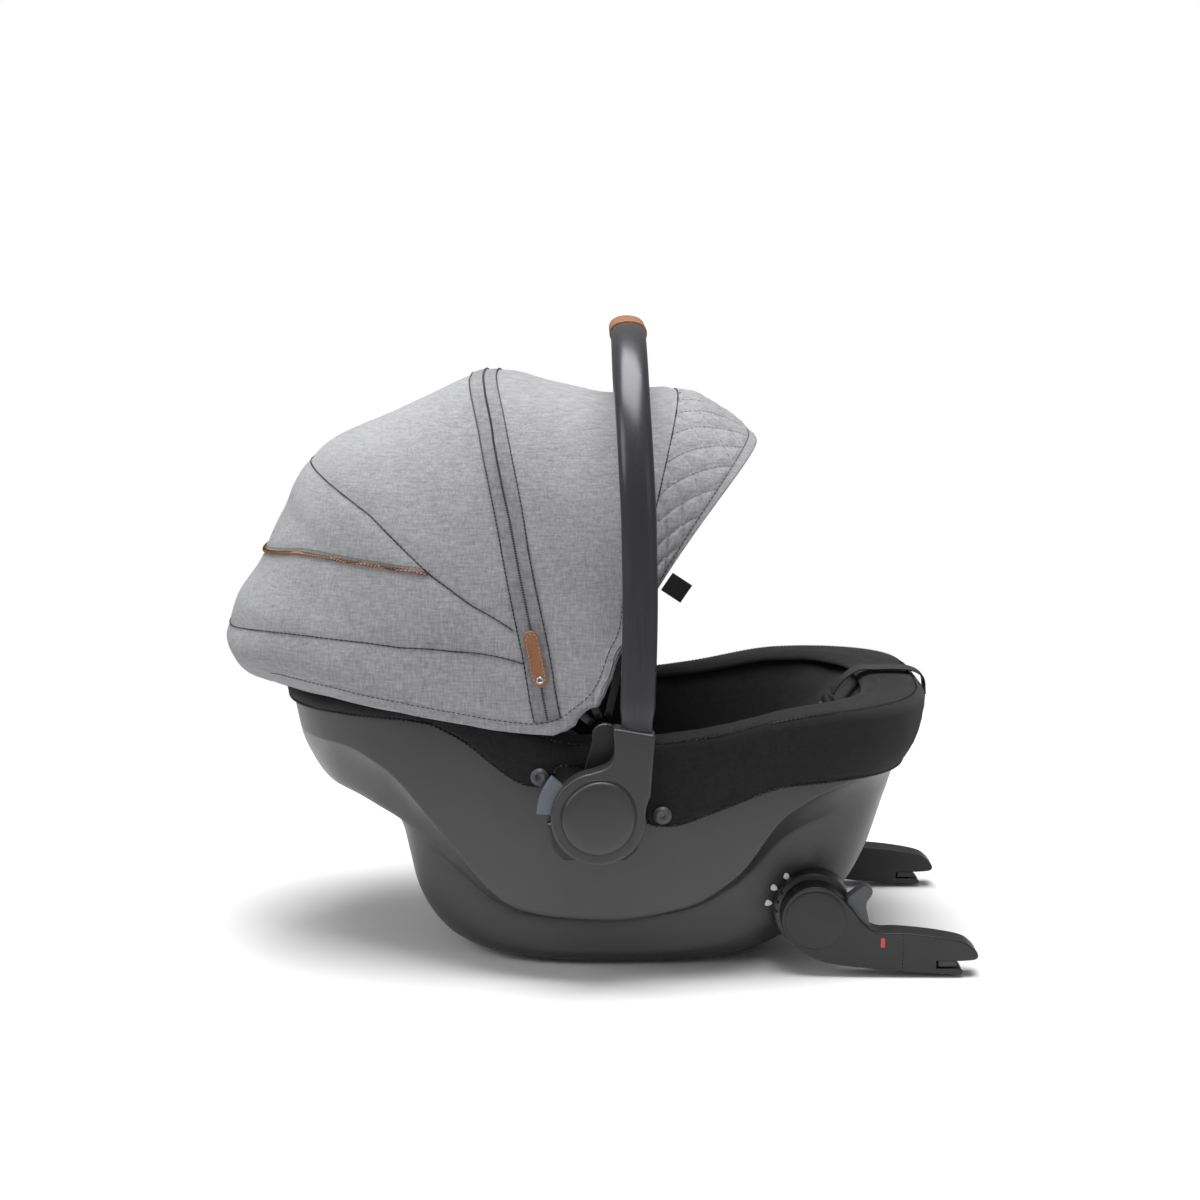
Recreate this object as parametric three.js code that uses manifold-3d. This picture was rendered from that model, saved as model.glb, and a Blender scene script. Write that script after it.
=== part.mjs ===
// Infant car seat (carrier) with folding canopy, swinging carry handle and swinging ISOFIX arms.
// Millimetres, +Z up, +X towards the occupant's feet, +Y to the occupant's left.
// Origin: centre of the flat stretch under the rocker bottom.
import * as THREE from 'three';
import { LoftGeometry } from 'three/addons/geometries/LoftGeometry.js';
import { RoundedBoxGeometry } from 'three/addons/geometries/RoundedBoxGeometry.js';
import { mergeVertices } from 'three/addons/utils/BufferGeometryUtils.js';
import Module from 'manifold-3d';

const wasm = await Module();
wasm.setup();

const DEG = Math.PI / 180;

// ---------- driving dimensions ----------
const SHELL_WALL = 4;
const LINER_GAP = 1.8;
const PAD_GAP = 2;
const REAR_CORNER = 2.8; // superellipse exponent of the head end in plan
const FOOT_CORNER = 3.6; // superellipse exponent of the foot end in plan
// levels of the shell up to the crease: rear x, rear z, foot x, foot z, half width
const SHELL_LEVELS = [
  [-64, 0, 62, 0, 92],
  [-122, 6, 104, 5, 112],
  [-168, 12, 141, 16, 119],
  [-188, 26, 171, 38, 122],
  [-203, 52, 197, 62, 122],
  [-211, 84, 214, 92, 122],
  [-219, 114, 224, 120, 122],
  [-236, 140, 230, 139, 123],
  [-262, 144, 234, 151, 126],
  [-287, 158, 237, 163, 135],
  [-304, 188, 240, 175, 152],
  [-309, 207, 242, 181, 172],
];
const SHELL_RIM = [-316, 249, 174]; // rear x, foot x, half width
// share of the wall's thickness by which each level's inner ring is raised
const WALL_LIFT = [1, 1, 0.8, 0.5, 0.3, 0.2, 0.2, 0.8, 1, 1, 1, 0.8];
// height of the rim along x, and of the crease where the side panel turns under into the narrow lower body
const RIM_LINE = [[-320, 243], [-160, 241], [-95, 222], [-55, 210], [12, 210], [56, 215], [146, 232], [253, 238]];
const CREASE_LINE = [
  [-320, 208], [-262, 207], [-221, 190], [-178, 145], [-153, 114], [-128, 85], [-104, 69], [-70, 62],
  [-25, 59], [42, 70], [87, 97], [131, 151], [170, 171], [203, 179], [253, 181],
];

// seat cavity inside the foam liner: rear x, rear z, foot x, foot z, side z, half width
const CAVITY_LEVELS = [
  [-30, 76, 84, 72, 74, 60],
  [-78, 106, 116, 92, 92, 88],
  [-140, 151, 154, 128, 128, 106],
  [-200, 195, 186, 170, 163, 124],
  [-252, 225, 205, 200, 186, 138],
];
const TOP_CAVITY = CAVITY_LEVELS.length;
const RIM_FLANGE = 27; // width of the rim's top, from the shell's outside to the seat pad
const LINER_THICKNESS = 8;
const PAD_INSIDE = 12; // from the cavity to the inside of the seat pad
const INSERT_TOP = 2.45; // cavity level at which the newborn insert ends

// x stations on the long sides at which every ring of the bucket has a point
const SIDE_STATIONS = [
  -262, -212, -160, -122, -88, -76, -66, -34, 0, 10, 30, 62, 100, 138, 172, 204,
];
const END_ANGLES = [13, 30];

const HANDLE_AXIS = [-33.5, 162];
const HUB_RADIUS = 40.3;
const HUB_INNER_Y = 197;
const HUB_OUTER_Y = 219;
const BOSS_RADIUS = 34;
const CAP_RADIUS = 31;
const HANDLE_SIDE_Y = 208;
const HANDLE_TOP_Z = 563;
const HANDLE_BEND_RADIUS = 140;
const GRIP_HALF_LENGTH = 64;
const GRIP_X = -7;
const TUBE_WALL = 1.8;
const SNAP_RADIUS = 8;
const PIN_RADIUS = 7.95;
const PIN_BORE = 8.03; // in the turning pieces
const PIN_HOLE = 8.3; // in the shell's bosses

const CANOPY_AXIS = [-28, 228];
const FRONT_BOW_ANGLE = 11.7; // degrees from upright, forward positive
const MID_BOW_ANGLE = -21;
const REAR_BOW_ANGLE = -50.3;
const CANOPY_REAR_END = -87.5;
const CANOPY_CORNER = 2.8;
const BOW_WIDTH = 8;
const BOW_CLEARANCE = 4.6; // from a bow's middle to the panels beside it
const PANEL_SHARES = 16;
const VISOR_REACH = 18.2; // degrees in front of the front bow
const VISOR_START = 80; // radius at which the visor runs out to nothing
const VISOR_RADIUS = 276;
// layers of the canopy at the sides, from the inside out: [inner, outer] half width
const FRONT_LAYER = [172.4, 175.6];
const MID_LAYER = [176.6, 179.8];
const REAR_LAYER = [180.8, 184];

const ISOFIX_AXIS = [158.3, 52.9];
const ISOFIX_BOSS_RADIUS = 35;
const ISOFIX_INNER_Y = 127;
const ISOFIX_OUTER_Y = 152;

// ---------- materials ----------
function material(color, roughness, metalness = 0) {
  return new THREE.MeshStandardMaterial({ color, roughness, metalness });
}
const PLASTIC = material(0x3b3a3a, 0.45);
const BLACK_PLASTIC = material(0x1c1c1e, 0.5);
const GREY_PLASTIC = material(0x5f6570, 0.5);
const BUTTON_PLASTIC = material(0x6c7480, 0.5);
const RED_PLASTIC = material(0xb3201c, 0.4);
const FOAM = material(0x2a2a2c, 0.95);
const KNIT = material(0x17181a, 0.95);
const SOFT_KNIT = material(0x202124, 0.95);
const WEBBING = material(0x141416, 0.8);
const CANOPY_FABRIC = material(0x8d8f94, 0.95);
const CANOPY_BAND = material(0x5c5d62, 0.9);
const HANDLE_METAL = material(0x2f2e31, 0.35, 0.6);
const LEATHER = material(0x9a5f37, 0.6);
const STEEL = material(0xa8a9ad, 0.3, 1);

// ---------- helpers ----------
function interpolate(line, x) {
  if (x <= line[0][0]) return line[0][1];
  for (let i = 1; i < line.length; i++) {
    const [x0, v0] = line[i - 1];
    const [x1, v1] = line[i];
    if (x <= x1) return v0 + (v1 - v0) * (x - x0) / (x1 - x0);
  }
  return line[line.length - 1][1];
}

// point in x and z at an angle in degrees around an axis
function around([x, z], radius, angle) {
  return [x + radius * Math.cos(angle * DEG), z + radius * Math.sin(angle * DEG)];
}

function smoothstep(low, high, value) {
  const t = Math.min(1, Math.max(0, (value - low) / (high - low)));
  return t * t * (3 - 2 * t);
}

// welded copy without empty triangles, faces turned outwards
function solid(source) {
  const bare = new THREE.BufferGeometry().copy(source);
  bare.deleteAttribute('normal');
  bare.deleteAttribute('uv');
  const welded = mergeVertices(bare, 1e-4);
  const position = welded.getAttribute('position');
  const index = welded.getIndex().array;
  const kept = [];
  let volume = 0;
  const a = new THREE.Vector3();
  const b = new THREE.Vector3();
  const c = new THREE.Vector3();
  for (let i = 0; i < index.length; i += 3) {
    const [p, q, r] = [index[i], index[i + 1], index[i + 2]];
    if (p === q || q === r || r === p) continue;
    kept.push(p, q, r);
    a.fromBufferAttribute(position, p);
    b.fromBufferAttribute(position, q);
    c.fromBufferAttribute(position, r);
    volume += a.dot(b.cross(c));
  }
  if (volume < 0) kept.reverse();
  welded.setIndex(kept);
  return welded;
}

function toManifold(geometry) {
  const ready = solid(geometry);
  return new wasm.Manifold(new wasm.Mesh({
    numProp: 3,
    vertProperties: new Float32Array(ready.getAttribute('position').array),
    triVerts: new Uint32Array(ready.getIndex().array),
  }));
}

function fromManifold(shape) {
  const mesh = shape.getMesh();
  const geometry = new THREE.BufferGeometry();
  const points = new Float32Array(mesh.numVert * 3);
  for (let i = 0; i < mesh.numVert; i++) {
    for (let k = 0; k < 3; k++) points[i * 3 + k] = mesh.vertProperties[i * mesh.numProp + k];
  }
  geometry.setAttribute('position', new THREE.BufferAttribute(points, 3));
  geometry.setIndex(Array.from(mesh.triVerts));
  return geometry;
}

function joined(base, ...others) {
  return fromManifold(others.reduce((sum, other) => sum.add(toManifold(other)), toManifold(base)));
}

function cut(base, ...tools) {
  return fromManifold(tools.reduce((rest, tool) => rest.subtract(toManifold(tool)), toManifold(base)));
}

function centreOf(points) {
  const centre = new THREE.Vector3();
  points.forEach((p) => centre.add(p));
  return centre.divideScalar(points.length);
}

// skin over the sections with both ends capped; sections may run either way round
function loft(sections) {
  const centre = centreOf(sections[0]);
  const turning = new THREE.Vector3();
  sections[0].forEach((p, i) => {
    const next = sections[0][(i + 1) % sections[0].length];
    turning.add(p.clone().sub(centre).cross(next.clone().sub(centre)));
  });
  const forward = centreOf(sections[1]).sub(centre);
  const ordered = turning.dot(forward) < 0 ? sections.map((section) => [...section].reverse()) : sections;
  return solid(new LoftGeometry(ordered, { capStart: true, capEnd: true }));
}

// stack of rings closed at both ends by a fan around the ring's middle
function stack(rings) {
  const middle = (ring) => ring.map(() => centreOf(ring));
  return solid(new LoftGeometry([middle(rings[0]), ...rings, middle(rings[rings.length - 1])]));
}

// outline drawn in x and z, given thickness from y0 towards -Y
function plate(points, y0, y1, bevel = 0) {
  const shape = new THREE.Shape(points.map(([x, z]) => new THREE.Vector2(x, z)));
  return plateOf(shape, y0, y1, bevel, 6);
}

function plateOf(shape, y0, y1, bevel, curveSegments) {
  const depth = y0 - y1 - 2 * bevel;
  const geometry = new THREE.ExtrudeGeometry(shape, {
    depth,
    curveSegments,
    bevelEnabled: bevel > 0,
    bevelSize: bevel,
    bevelThickness: bevel,
    bevelOffset: -bevel,
    bevelSegments: 1,
  });
  geometry.rotateX(Math.PI / 2);
  geometry.translate(0, y0 - bevel, 0);
  return geometry;
}

// round bar along Y
function barY(radius, x, z, y0, y1, segments = 24) {
  const geometry = new THREE.CylinderGeometry(radius, radius, Math.abs(y1 - y0), segments);
  geometry.translate(x, (y0 + y1) / 2, z);
  return geometry;
}

function roundedBox(size, centre, radius = 2, pitch = 0) {
  const geometry = new RoundedBoxGeometry(size[0], size[1], size[2], 1, radius);
  geometry.rotateY(pitch * DEG);
  geometry.translate(...centre);
  return geometry;
}

function mirrored(geometry) {
  const copy = solid(geometry);
  copy.scale(1, -1, 1);
  return solid(copy);
}

const seat = new THREE.Group();
seat.name = 'infant_car_seat';

function add(name, geometry, look) {
  const ready = solid(geometry);
  ready.computeVertexNormals();
  const mesh = new THREE.Mesh(ready, look);
  mesh.name = name;
  seat.add(mesh);
}

// the same piece on the occupant's right (-Y, as built) and left (+Y)
function addPair(name, geometry, look) {
  add(`${name}_r`, geometry, look);
  add(`${name}_l`, mirrored(geometry), look);
}

// ---------- the bucket: rings in plan ----------
function ringParameters() {
  const rearX = SHELL_RIM[0];
  const footX = SHELL_RIM[1];
  const middle = (rearX + footX) / 2;
  const half = (footX - rearX) / 2;
  const side = SIDE_STATIONS.map((x) => {
    const along = (x - middle) / half;
    const corner = along < 0 ? REAR_CORNER : FOOT_CORNER;
    return Math.acos(Math.sign(along) * Math.abs(along) ** (corner / 2));
  });
  const foot = END_ANGLES.map((angle) => angle * DEG);
  const rear = END_ANGLES.map((angle) => Math.PI - angle * DEG);
  const upper = [...foot, ...side, ...rear].sort((a, b) => a - b);
  const lower = upper.map((angle) => -angle).reverse();
  return [0, ...upper, Math.PI, ...lower];
}
const RING_ANGLES = ringParameters();

// how far along x (-1 rear .. 1 foot) and across y (-1 .. 1) a ring's point lies
function planPoint(angle) {
  const c = Math.cos(angle);
  const s = Math.sin(angle);
  const corner = c < 0 ? REAR_CORNER : FOOT_CORNER;
  return [Math.sign(c) * Math.abs(c) ** (2 / corner), Math.sign(s) * Math.abs(s) ** (2 / corner)];
}

function planAt(rearX, footX, halfWidth, angle, inset) {
  const [along, across] = planPoint(angle);
  return [(rearX + footX) / 2 + ((footX - rearX) / 2 - inset) * along, (halfWidth - inset) * across, along];
}

// the levels fan out between the ends: at the sides each keeps its share of the crease's height
function shellPoint(index, angle, inset, lift) {
  const [rearX, rearZ, footX, footZ, halfWidth] = SHELL_LEVELS[index];
  const [x, y, along] = planAt(rearX, footX, halfWidth, angle, inset);
  const rearShare = rearZ / interpolate(CREASE_LINE, rearX);
  const footShare = footZ / interpolate(CREASE_LINE, footX);
  const share = rearShare + (footShare - rearShare) * (1 + along) / 2;
  return new THREE.Vector3(x, y, share * interpolate(CREASE_LINE, x) + lift);
}

function rimPoint(angle, inset, lift) {
  const [x, y] = planAt(...SHELL_RIM, angle, inset);
  return new THREE.Vector3(x, y, interpolate(RIM_LINE, x) + lift);
}

function rimRing(inset, lift) {
  return RING_ANGLES.map((angle) => rimPoint(angle, inset, lift));
}

function shellRing(index, inset, lift) {
  return RING_ANGLES.map((angle) => shellPoint(index, angle, inset, lift));
}

// point on the side panel, height 0 at the crease and 1 at the rim
function sidePoint(angle, height, outset) {
  return shellPoint(SHELL_LEVELS.length - 1, angle, -outset, 0).lerp(rimPoint(angle, -outset, 0), height);
}

function cavityPoint(height, angle, inset, lift) {
  const index = Math.min(CAVITY_LEVELS.length - 2, Math.floor(height));
  const above = CAVITY_LEVELS[index + 1];
  const level = CAVITY_LEVELS[index].map((value, i) => value + (above[i] - value) * (height - index));
  const [rearX, rearZ, footX, footZ, sideZ, halfWidth] = level;
  const [x, y, along] = planAt(rearX, footX, halfWidth, angle, inset);
  const endZ = along < 0 ? rearZ : footZ;
  return new THREE.Vector3(x, y, sideZ + (endZ - sideZ) * along * along + lift);
}

function cavityRing(height, inset, lift) {
  return RING_ANGLES.map((angle) => cavityPoint(height, angle, inset, lift));
}

function shellBody() {
  const rings = SHELL_LEVELS.map((level, i) => shellRing(i, 0, 0));
  rings.push(rimRing(0, 0), rimRing(SHELL_WALL, 0));
  for (let i = SHELL_LEVELS.length - 1; i >= 0; i--) {
    rings.push(shellRing(i, SHELL_WALL, WALL_LIFT[i] * SHELL_WALL));
  }
  const [hx, hz] = HANDLE_AXIS;
  const [ix, iz] = ISOFIX_AXIS;
  const bosses = [];
  const holes = [];
  for (const side of [-1, 1]) {
    bosses.push(barY(BOSS_RADIUS, hx, hz, side * 171.5, side * (HUB_INNER_Y - 0.5), 32));
    bosses.push(barY(ISOFIX_BOSS_RADIUS, ix, iz, side * 84, side * (ISOFIX_INNER_Y - 0.5), 32));
    holes.push(barY(PIN_HOLE, hx, hz, side * 178, side * 200));
    holes.push(barY(PIN_HOLE, ix, iz, side * 104, side * 130));
  }
  return cut(joined(stack(rings), ...bosses), ...holes);
}

// foam liner around the seat cavity, with a flange that rests inside the shell's rim
function liner() {
  const rings = [];
  for (let i = 0; i < TOP_CAVITY; i++) rings.push(cavityRing(i, -LINER_THICKNESS, -LINER_THICKNESS));
  const edge = SHELL_WALL + LINER_GAP;
  rings.push(rimRing(edge + 4, -16), rimRing(edge, -2.5), rimRing(RIM_FLANGE, -2.5));
  for (let i = TOP_CAVITY - 1; i >= 0; i--) rings.push(cavityRing(i, 0, 0));
  return stack(rings);
}

// padded lining of the cavity, a nested tub
function seatPad() {
  const rings = [];
  for (let i = 0; i < TOP_CAVITY; i++) rings.push(cavityRing(i, PAD_GAP, PAD_GAP));
  rings.push(rimRing(RIM_FLANGE + 1.6 * PAD_GAP, -1), rimRing(RIM_FLANGE + PAD_INSIDE, -1));
  for (let i = TOP_CAVITY - 1; i >= 0; i--) rings.push(cavityRing(i, PAD_INSIDE, PAD_INSIDE - 2));
  return stack(rings);
}

// removable newborn insert, nested in the lower half of the pad
function infantInsert() {
  const rings = [];
  const outside = PAD_INSIDE + 1.6;
  for (const level of [0, 1, 2, INSERT_TOP]) rings.push(cavityRing(level, outside, outside - 2));
  rings.push(cavityRing(INSERT_TOP, 20, 21));
  for (let i = 2; i >= 0; i--) rings.push(cavityRing(i, 30, 24));
  return stack(rings);
}

// height of the skirt's hem along x: cut away around the handle's boss and towards the head end
const SKIRT_HEM = [
  [-316, 236], [-190, 236], [-158, 224], [-88, 180], [-76, 183], [-66, 201], [0, 201], [10, 146], [30, 145],
  [62, 155], [138, 178], [253, 182],
];

function coverSection(angle) {
  const [along] = planPoint(angle);
  const rim = rimPoint(angle, 0, 0);
  const crease = sidePoint(angle, 0, 0);
  const hem = interpolate(SKIRT_HEM, rim.x);
  const height = Math.min(0.92, Math.max(0, (hem - crease.z) / (rim.z - crease.z)));
  const bulge = 4 + 12 * Math.max(0, along) ** 6;
  const inner = [];
  const outer = [];
  for (const t of [0, 0.3, 0.6, 0.8]) {
    const at = height + (1 - height) * t;
    inner.push(sidePoint(angle, at, 1));
    outer.push(sidePoint(angle, at, 3.2 + (bulge - 3.2) * smoothstep(0, 0.5, t)));
  }
  const points = [...inner];
  points.push(rimPoint(angle, -1, 0.7));
  points.push(rimPoint(angle, 38, 0.7));
  points.push(rimPoint(angle, 41, 3.5));
  points.push(rimPoint(angle, 32, 8.5));
  points.push(rimPoint(angle, 16, 9));
  points.push(rimPoint(angle, 2 - bulge * 0.6, 7));
  points.push(rimPoint(angle, -bulge, 0));
  return [...points, ...outer.reverse()];
}

// skirt and padded rim of the seat cover, one closed band around the bucket
function seatCover() {
  const sections = RING_ANGLES.map(coverSection);
  sections.push(sections[0]);
  return new LoftGeometry(sections);
}

function coverSnap(x, z, depth) {
  const thickness = 3;
  const cap = new THREE.CylinderGeometry(SNAP_RADIUS, SNAP_RADIUS - 1.4, thickness, 20);
  cap.translate(x, -depth - thickness / 2, z);
  return cap;
}

// ---------- head support ----------
function headrest() {
  const sections = [];
  const steps = 12;
  const fromAngle = 118;
  for (let step = 0; step <= steps; step++) {
    const angle = (fromAngle + step * 2 * (180 - fromAngle) / steps) * DEG;
    const low = cavityPoint(3.15, angle, 14, 13);
    const high = cavityPoint(4, angle, 14, 13);
    const lowIn = cavityPoint(3.15, angle, 36, 26);
    const highIn = cavityPoint(4, angle, 36, 30);
    const up = new THREE.Vector3(-0.5, 0, 1).multiplyScalar(26);
    const highTop = high.clone().add(up);
    const highInTop = highIn.clone().add(up).lerp(highTop, 0.3);
    sections.push([low, high, highTop, highInTop, highIn, lowIn]);
  }
  return loft(sections);
}

// ---------- harness ----------
// flat webbing along points, width across y (or across the given direction)
function webbing(points, width, thickness = 2.2) {
  const curve = new THREE.CatmullRomCurve3(points.map((p) => new THREE.Vector3(...p)));
  const sections = [];
  const steps = 8;
  for (let i = 0; i <= steps; i++) {
    const centre = curve.getPoint(i / steps);
    const tangent = curve.getTangent(i / steps);
    const across = new THREE.Vector3(0, 1, 0);
    across.addScaledVector(tangent, -across.dot(tangent)).normalize();
    const up = new THREE.Vector3().crossVectors(tangent, across);
    const section = [[-1, -1], [1, -1], [1, 1], [-1, 1]].map(([a, b]) => centre.clone()
      .addScaledVector(across, a * width / 2)
      .addScaledVector(up, b * thickness / 2));
    sections.push(section);
  }
  return loft(sections);
}

const SHOULDER_PATH = [[-160, -40, 208], [-130, -39, 205], [-98, -37, 193], [-55, -31, 172], [-9, -14.2, 150]];
const SHOULDER_PAD_PATH = [[-124, -38.7, 203.2], [-98, -37, 193], [-74, -34.2, 181.6], [-48, -28.8, 168.7]];

function shoulderPad() {
  return cut(webbing(SHOULDER_PAD_PATH, 44, 12), webbing(SHOULDER_PATH, 27.4, 3.6));
}

const BUCKLE_CENTRE = [30, 0, 128];
const BUCKLE_PITCH = 28;

function buckleFrame(geometry) {
  geometry.rotateY(BUCKLE_PITCH * DEG);
  geometry.translate(...BUCKLE_CENTRE);
  return geometry;
}

function buckleBody() {
  const body = buckleFrame(new RoundedBoxGeometry(48, 46, 20, 2, 5));
  const button = buckleFrame(new THREE.BoxGeometry(20.8, 26.8, 12).translate(4, 0, 8));
  const slotAt = (y) => buckleFrame(new THREE.BoxGeometry(20, 16.8, 4).translate(-18, y, -1));
  const slots = [slotAt(-10.5), slotAt(10.5)];
  return cut(body, button, ...slots);
}

function buckleButton() {
  return buckleFrame(new RoundedBoxGeometry(20, 26, 8, 1, 1.5).translate(4, 0, 8.5));
}

function buckleTongue() {
  const blade = new THREE.BoxGeometry(26, 16, 3.2).translate(-21.5, -10.5, -1);
  const frame = new THREE.BoxGeometry(10, 20, 5).translate(-34.6, -11.2, -1);
  return buckleFrame(joined(blade, frame));
}

const ADJUSTER_STRAP_PATH = [
  [185, 0, 226], [194, 0, 239], [208, 0, 249.2], [226, 0, 250.4], [244, 0, 250.6], [259, 0, 249], [269, 0, 242],
  [271, 0, 227],
];

// ---------- handle ----------
function hubShape() {
  const [cx, cz] = HANDLE_AXIS;
  const shape = new THREE.Shape();
  shape.moveTo(14.6, 235);
  shape.lineTo(-21, 241);
  shape.lineTo(-19.8, 222);
  shape.quadraticCurveTo(-22, 208, cx - 6, cz + HUB_RADIUS - 0.4);
  shape.absarc(cx, cz, HUB_RADIUS, 100 * DEG, 365 * DEG, false);
  shape.lineTo(10.6, 182);
  shape.closePath();
  return shape;
}

// ring sector around the handle's axis, between two angles in degrees
function sectorPoints(inner, outer, from, to, steps) {
  const angles = Array.from({ length: steps + 1 }, (_, i) => from + (to - from) * i / steps);
  const outside = angles.map((angle) => around(HANDLE_AXIS, outer, angle));
  const inside = angles.map((angle) => around(HANDLE_AXIS, inner, angle));
  return [...outside, ...inside.reverse()];
}

// centre line of the handle: up the right side, over the top and down the left side
function handlePath() {
  const lean = [[207, -2.5], [222, -1.8], [239, -0.9], [252, -0.4], [300, 1], [349, 1.6], [400, 0.6]];
  const half = lean.map(([z, x]) => [x, -HANDLE_SIDE_Y, z]);
  const bendY = HANDLE_BEND_RADIUS - HANDLE_SIDE_Y;
  const bendZ = HANDLE_TOP_Z - HANDLE_BEND_RADIUS;
  const steps = 9;
  for (let i = 0; i <= steps; i++) {
    const angle = i / steps * 90 * DEG;
    const z = bendZ + HANDLE_BEND_RADIUS * Math.sin(angle);
    const x = interpolate([[bendZ, 0], [470, -2.4], [515, -5], [HANDLE_TOP_Z, GRIP_X]], z);
    half.push([x, bendY - HANDLE_BEND_RADIUS * Math.cos(angle), z]);
  }
  const other = half.map(([x, y, z]) => [x, -y, z]).reverse();
  return [...half, [GRIP_X, 0, HANDLE_TOP_Z], ...other].map((p) => new THREE.Vector3(...p));
}

// half width along x and half depth across the arch, by height
function tubeHalfSize(z) {
  const width = z < 245 ? 13.4 : Math.min(14.9, 13.4 + (z - 245) * 0.15);
  const depth = interpolate([[245, 7.6], [262, 8.6], [420, 9.5], [564, 9.7]], z);
  return [width, depth];
}

function tubeSections(path, extra, segments = 12) {
  return path.map((centre, i) => {
    const before = path[Math.max(0, i - 1)];
    const after = path[Math.min(path.length - 1, i + 1)];
    const tangent = after.clone().sub(before).normalize();
    const across = new THREE.Vector3(1, 0, 0);
    across.addScaledVector(tangent, -across.dot(tangent)).normalize();
    const outward = new THREE.Vector3().crossVectors(across, tangent);
    const [width, depth] = tubeHalfSize(centre.z);
    const section = [];
    for (let k = 0; k < segments; k++) {
      const angle = (k + 0.5) / segments * 2 * Math.PI;
      section.push(centre.clone()
        .addScaledVector(across, (width + extra) * Math.cos(angle))
        .addScaledVector(outward, (depth + extra) * Math.sin(angle)));
    }
    return section;
  });
}

function handleTube() {
  const path = handlePath();
  const bore = handlePath();
  bore[0].z -= 4;
  bore[bore.length - 1].z -= 4;
  return cut(loft(tubeSections(path, 0)), loft(tubeSections(bore, -TUBE_WALL)));
}

function handleGrip() {
  const gripLine = (halfLength) => [-1, -0.5, 0, 0.5, 1]
    .map((share) => new THREE.Vector3(GRIP_X, share * halfLength, HANDLE_TOP_Z));
  const wrap = loft(tubeSections(gripLine(GRIP_HALF_LENGTH), 1.9, 16));
  const bore = loft(tubeSections(gripLine(GRIP_HALF_LENGTH + 12), 0.35));
  return cut(wrap, bore);
}

function handleHub() {
  const body = plateOf(hubShape(), -HUB_INNER_Y, -HUB_OUTER_Y, 2.2, 9);
  const path = handlePath().slice(0, 5);
  path[0].z -= 2;
  const socket = loft(tubeSections(path, 0.35));
  const pocket = plate(sectorPoints(28, 44, 134, 182, 8), -HUB_INNER_Y - 1.6, -HUB_INNER_Y - 16);
  const [cx, cz] = HANDLE_AXIS;
  const bore = barY(PIN_BORE, cx, cz, -190, -211);
  const counterbore = barY(14.5, cx, cz, -210.5, -225);
  return cut(body, socket, pocket, bore, counterbore);
}

function handlePivot() {
  const [cx, cz] = HANDLE_AXIS;
  return joined(barY(PIN_RADIUS, cx, cz, -179, -211.2), barY(13, cx, cz, -211.1, -216));
}

// slightly egg-shaped cover disc of the hub
function hubCap() {
  const points = [];
  for (let angle = 0; angle < 360; angle += 10) {
    const peak = 3 * Math.max(0, Math.cos((angle - 62) * DEG)) ** 3;
    points.push(around(HANDLE_AXIS, CAP_RADIUS + peak, angle));
  }
  return plate(points, -HUB_OUTER_Y - 0.3, -HUB_OUTER_Y - 3.3, 1);
}

function handleButton() {
  return plate(sectorPoints(34, 52.5, 139, 177, 8), -HUB_INNER_Y - 2, -HUB_INNER_Y - 15.4, 1);
}

// socket for a pushchair adapter, on the shell under the handle's boss
function adapterSocket() {
  const [cx, cz] = HANDLE_AXIS;
  const body = plate([
    [cx - 44, cz - 12], [cx + 38, cz - 12], [cx + 34, cz - 36], [cx + 24, cz - 45], [cx - 30, cz - 45],
    [cx - 40, cz - 34],
  ], -176.3, -186, 1.5);
  const slot = roundedBox([38, 12, 3], [cx - 3, -187, cz - 38.5], 0.5);
  return cut(body, barY(BOSS_RADIUS + 0.5, cx, cz, -170, -200, 40), slot);
}

// ---------- canopy ----------
const PEAK_LINE = [[-87.5, 318], [-84, 340], [-80, 350], [-75, 348], [-67, 342], [-50.3, 342]];
function rearPeak(angle) {
  return interpolate(PEAK_LINE, angle);
}

function midPeak(angle) {
  return interpolate([[REAR_BOW_ANGLE, 334], [MID_BOW_ANGLE, 311]], angle);
}

function frontPeak(angle) {
  return interpolate([[MID_BOW_ANGLE, 304.5], [FRONT_BOW_ANGLE, 283], [30, 275.6]], angle);
}

// point of a canopy arch: share 0 at the right side's foot, 1 at the left side's foot
function archPoint(share, peak, halfWidth, start) {
  const startAngle = Math.asin(Math.min(1, (start / peak) ** (CANOPY_CORNER / 2)));
  const angle = startAngle + (Math.PI - 2 * startAngle) * share;
  const s = Math.sin(angle);
  const c = Math.cos(angle);
  return [
    -Math.sign(c) * Math.abs(c) ** (2 / CANOPY_CORNER) * halfWidth,
    Math.abs(s) ** (2 / CANOPY_CORNER) * peak,
  ];
}

function onCanopy(angle, radius, y) {
  const [px, pz] = CANOPY_AXIS;
  return new THREE.Vector3(px + radius * Math.sin(angle * DEG), y, pz + radius * Math.cos(angle * DEG));
}

// panel between two bows; at every radius it keeps clear of the strip of the bow it runs up to
function canopyPanel(peakAt, layer, fromAngle, toAngle, start, steps) {
  const [innerWidth, outerWidth] = layer;
  const shares = PANEL_SHARES;
  const sections = [];
  for (let i = 0; i <= steps; i++) {
    const t = i / steps;
    const nominal = fromAngle + (toAngle - fromAngle) * t;
    const make = (halfWidth, drop) => {
      const line = [];
      for (let k = 0; k <= shares; k++) {
        const [y, radius] = archPoint(k / shares, peakAt(nominal) - drop, halfWidth, start);
        const to = toAngle - Math.asin(BOW_CLEARANCE / radius) / DEG;
        line.push(onCanopy(fromAngle + (to - fromAngle) * t, radius, y));
      }
      return line;
    };
    sections.push([...make(outerWidth, 0), ...make(innerWidth, outerWidth - innerWidth).reverse()]);
  }
  return loft(sections);
}

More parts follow.
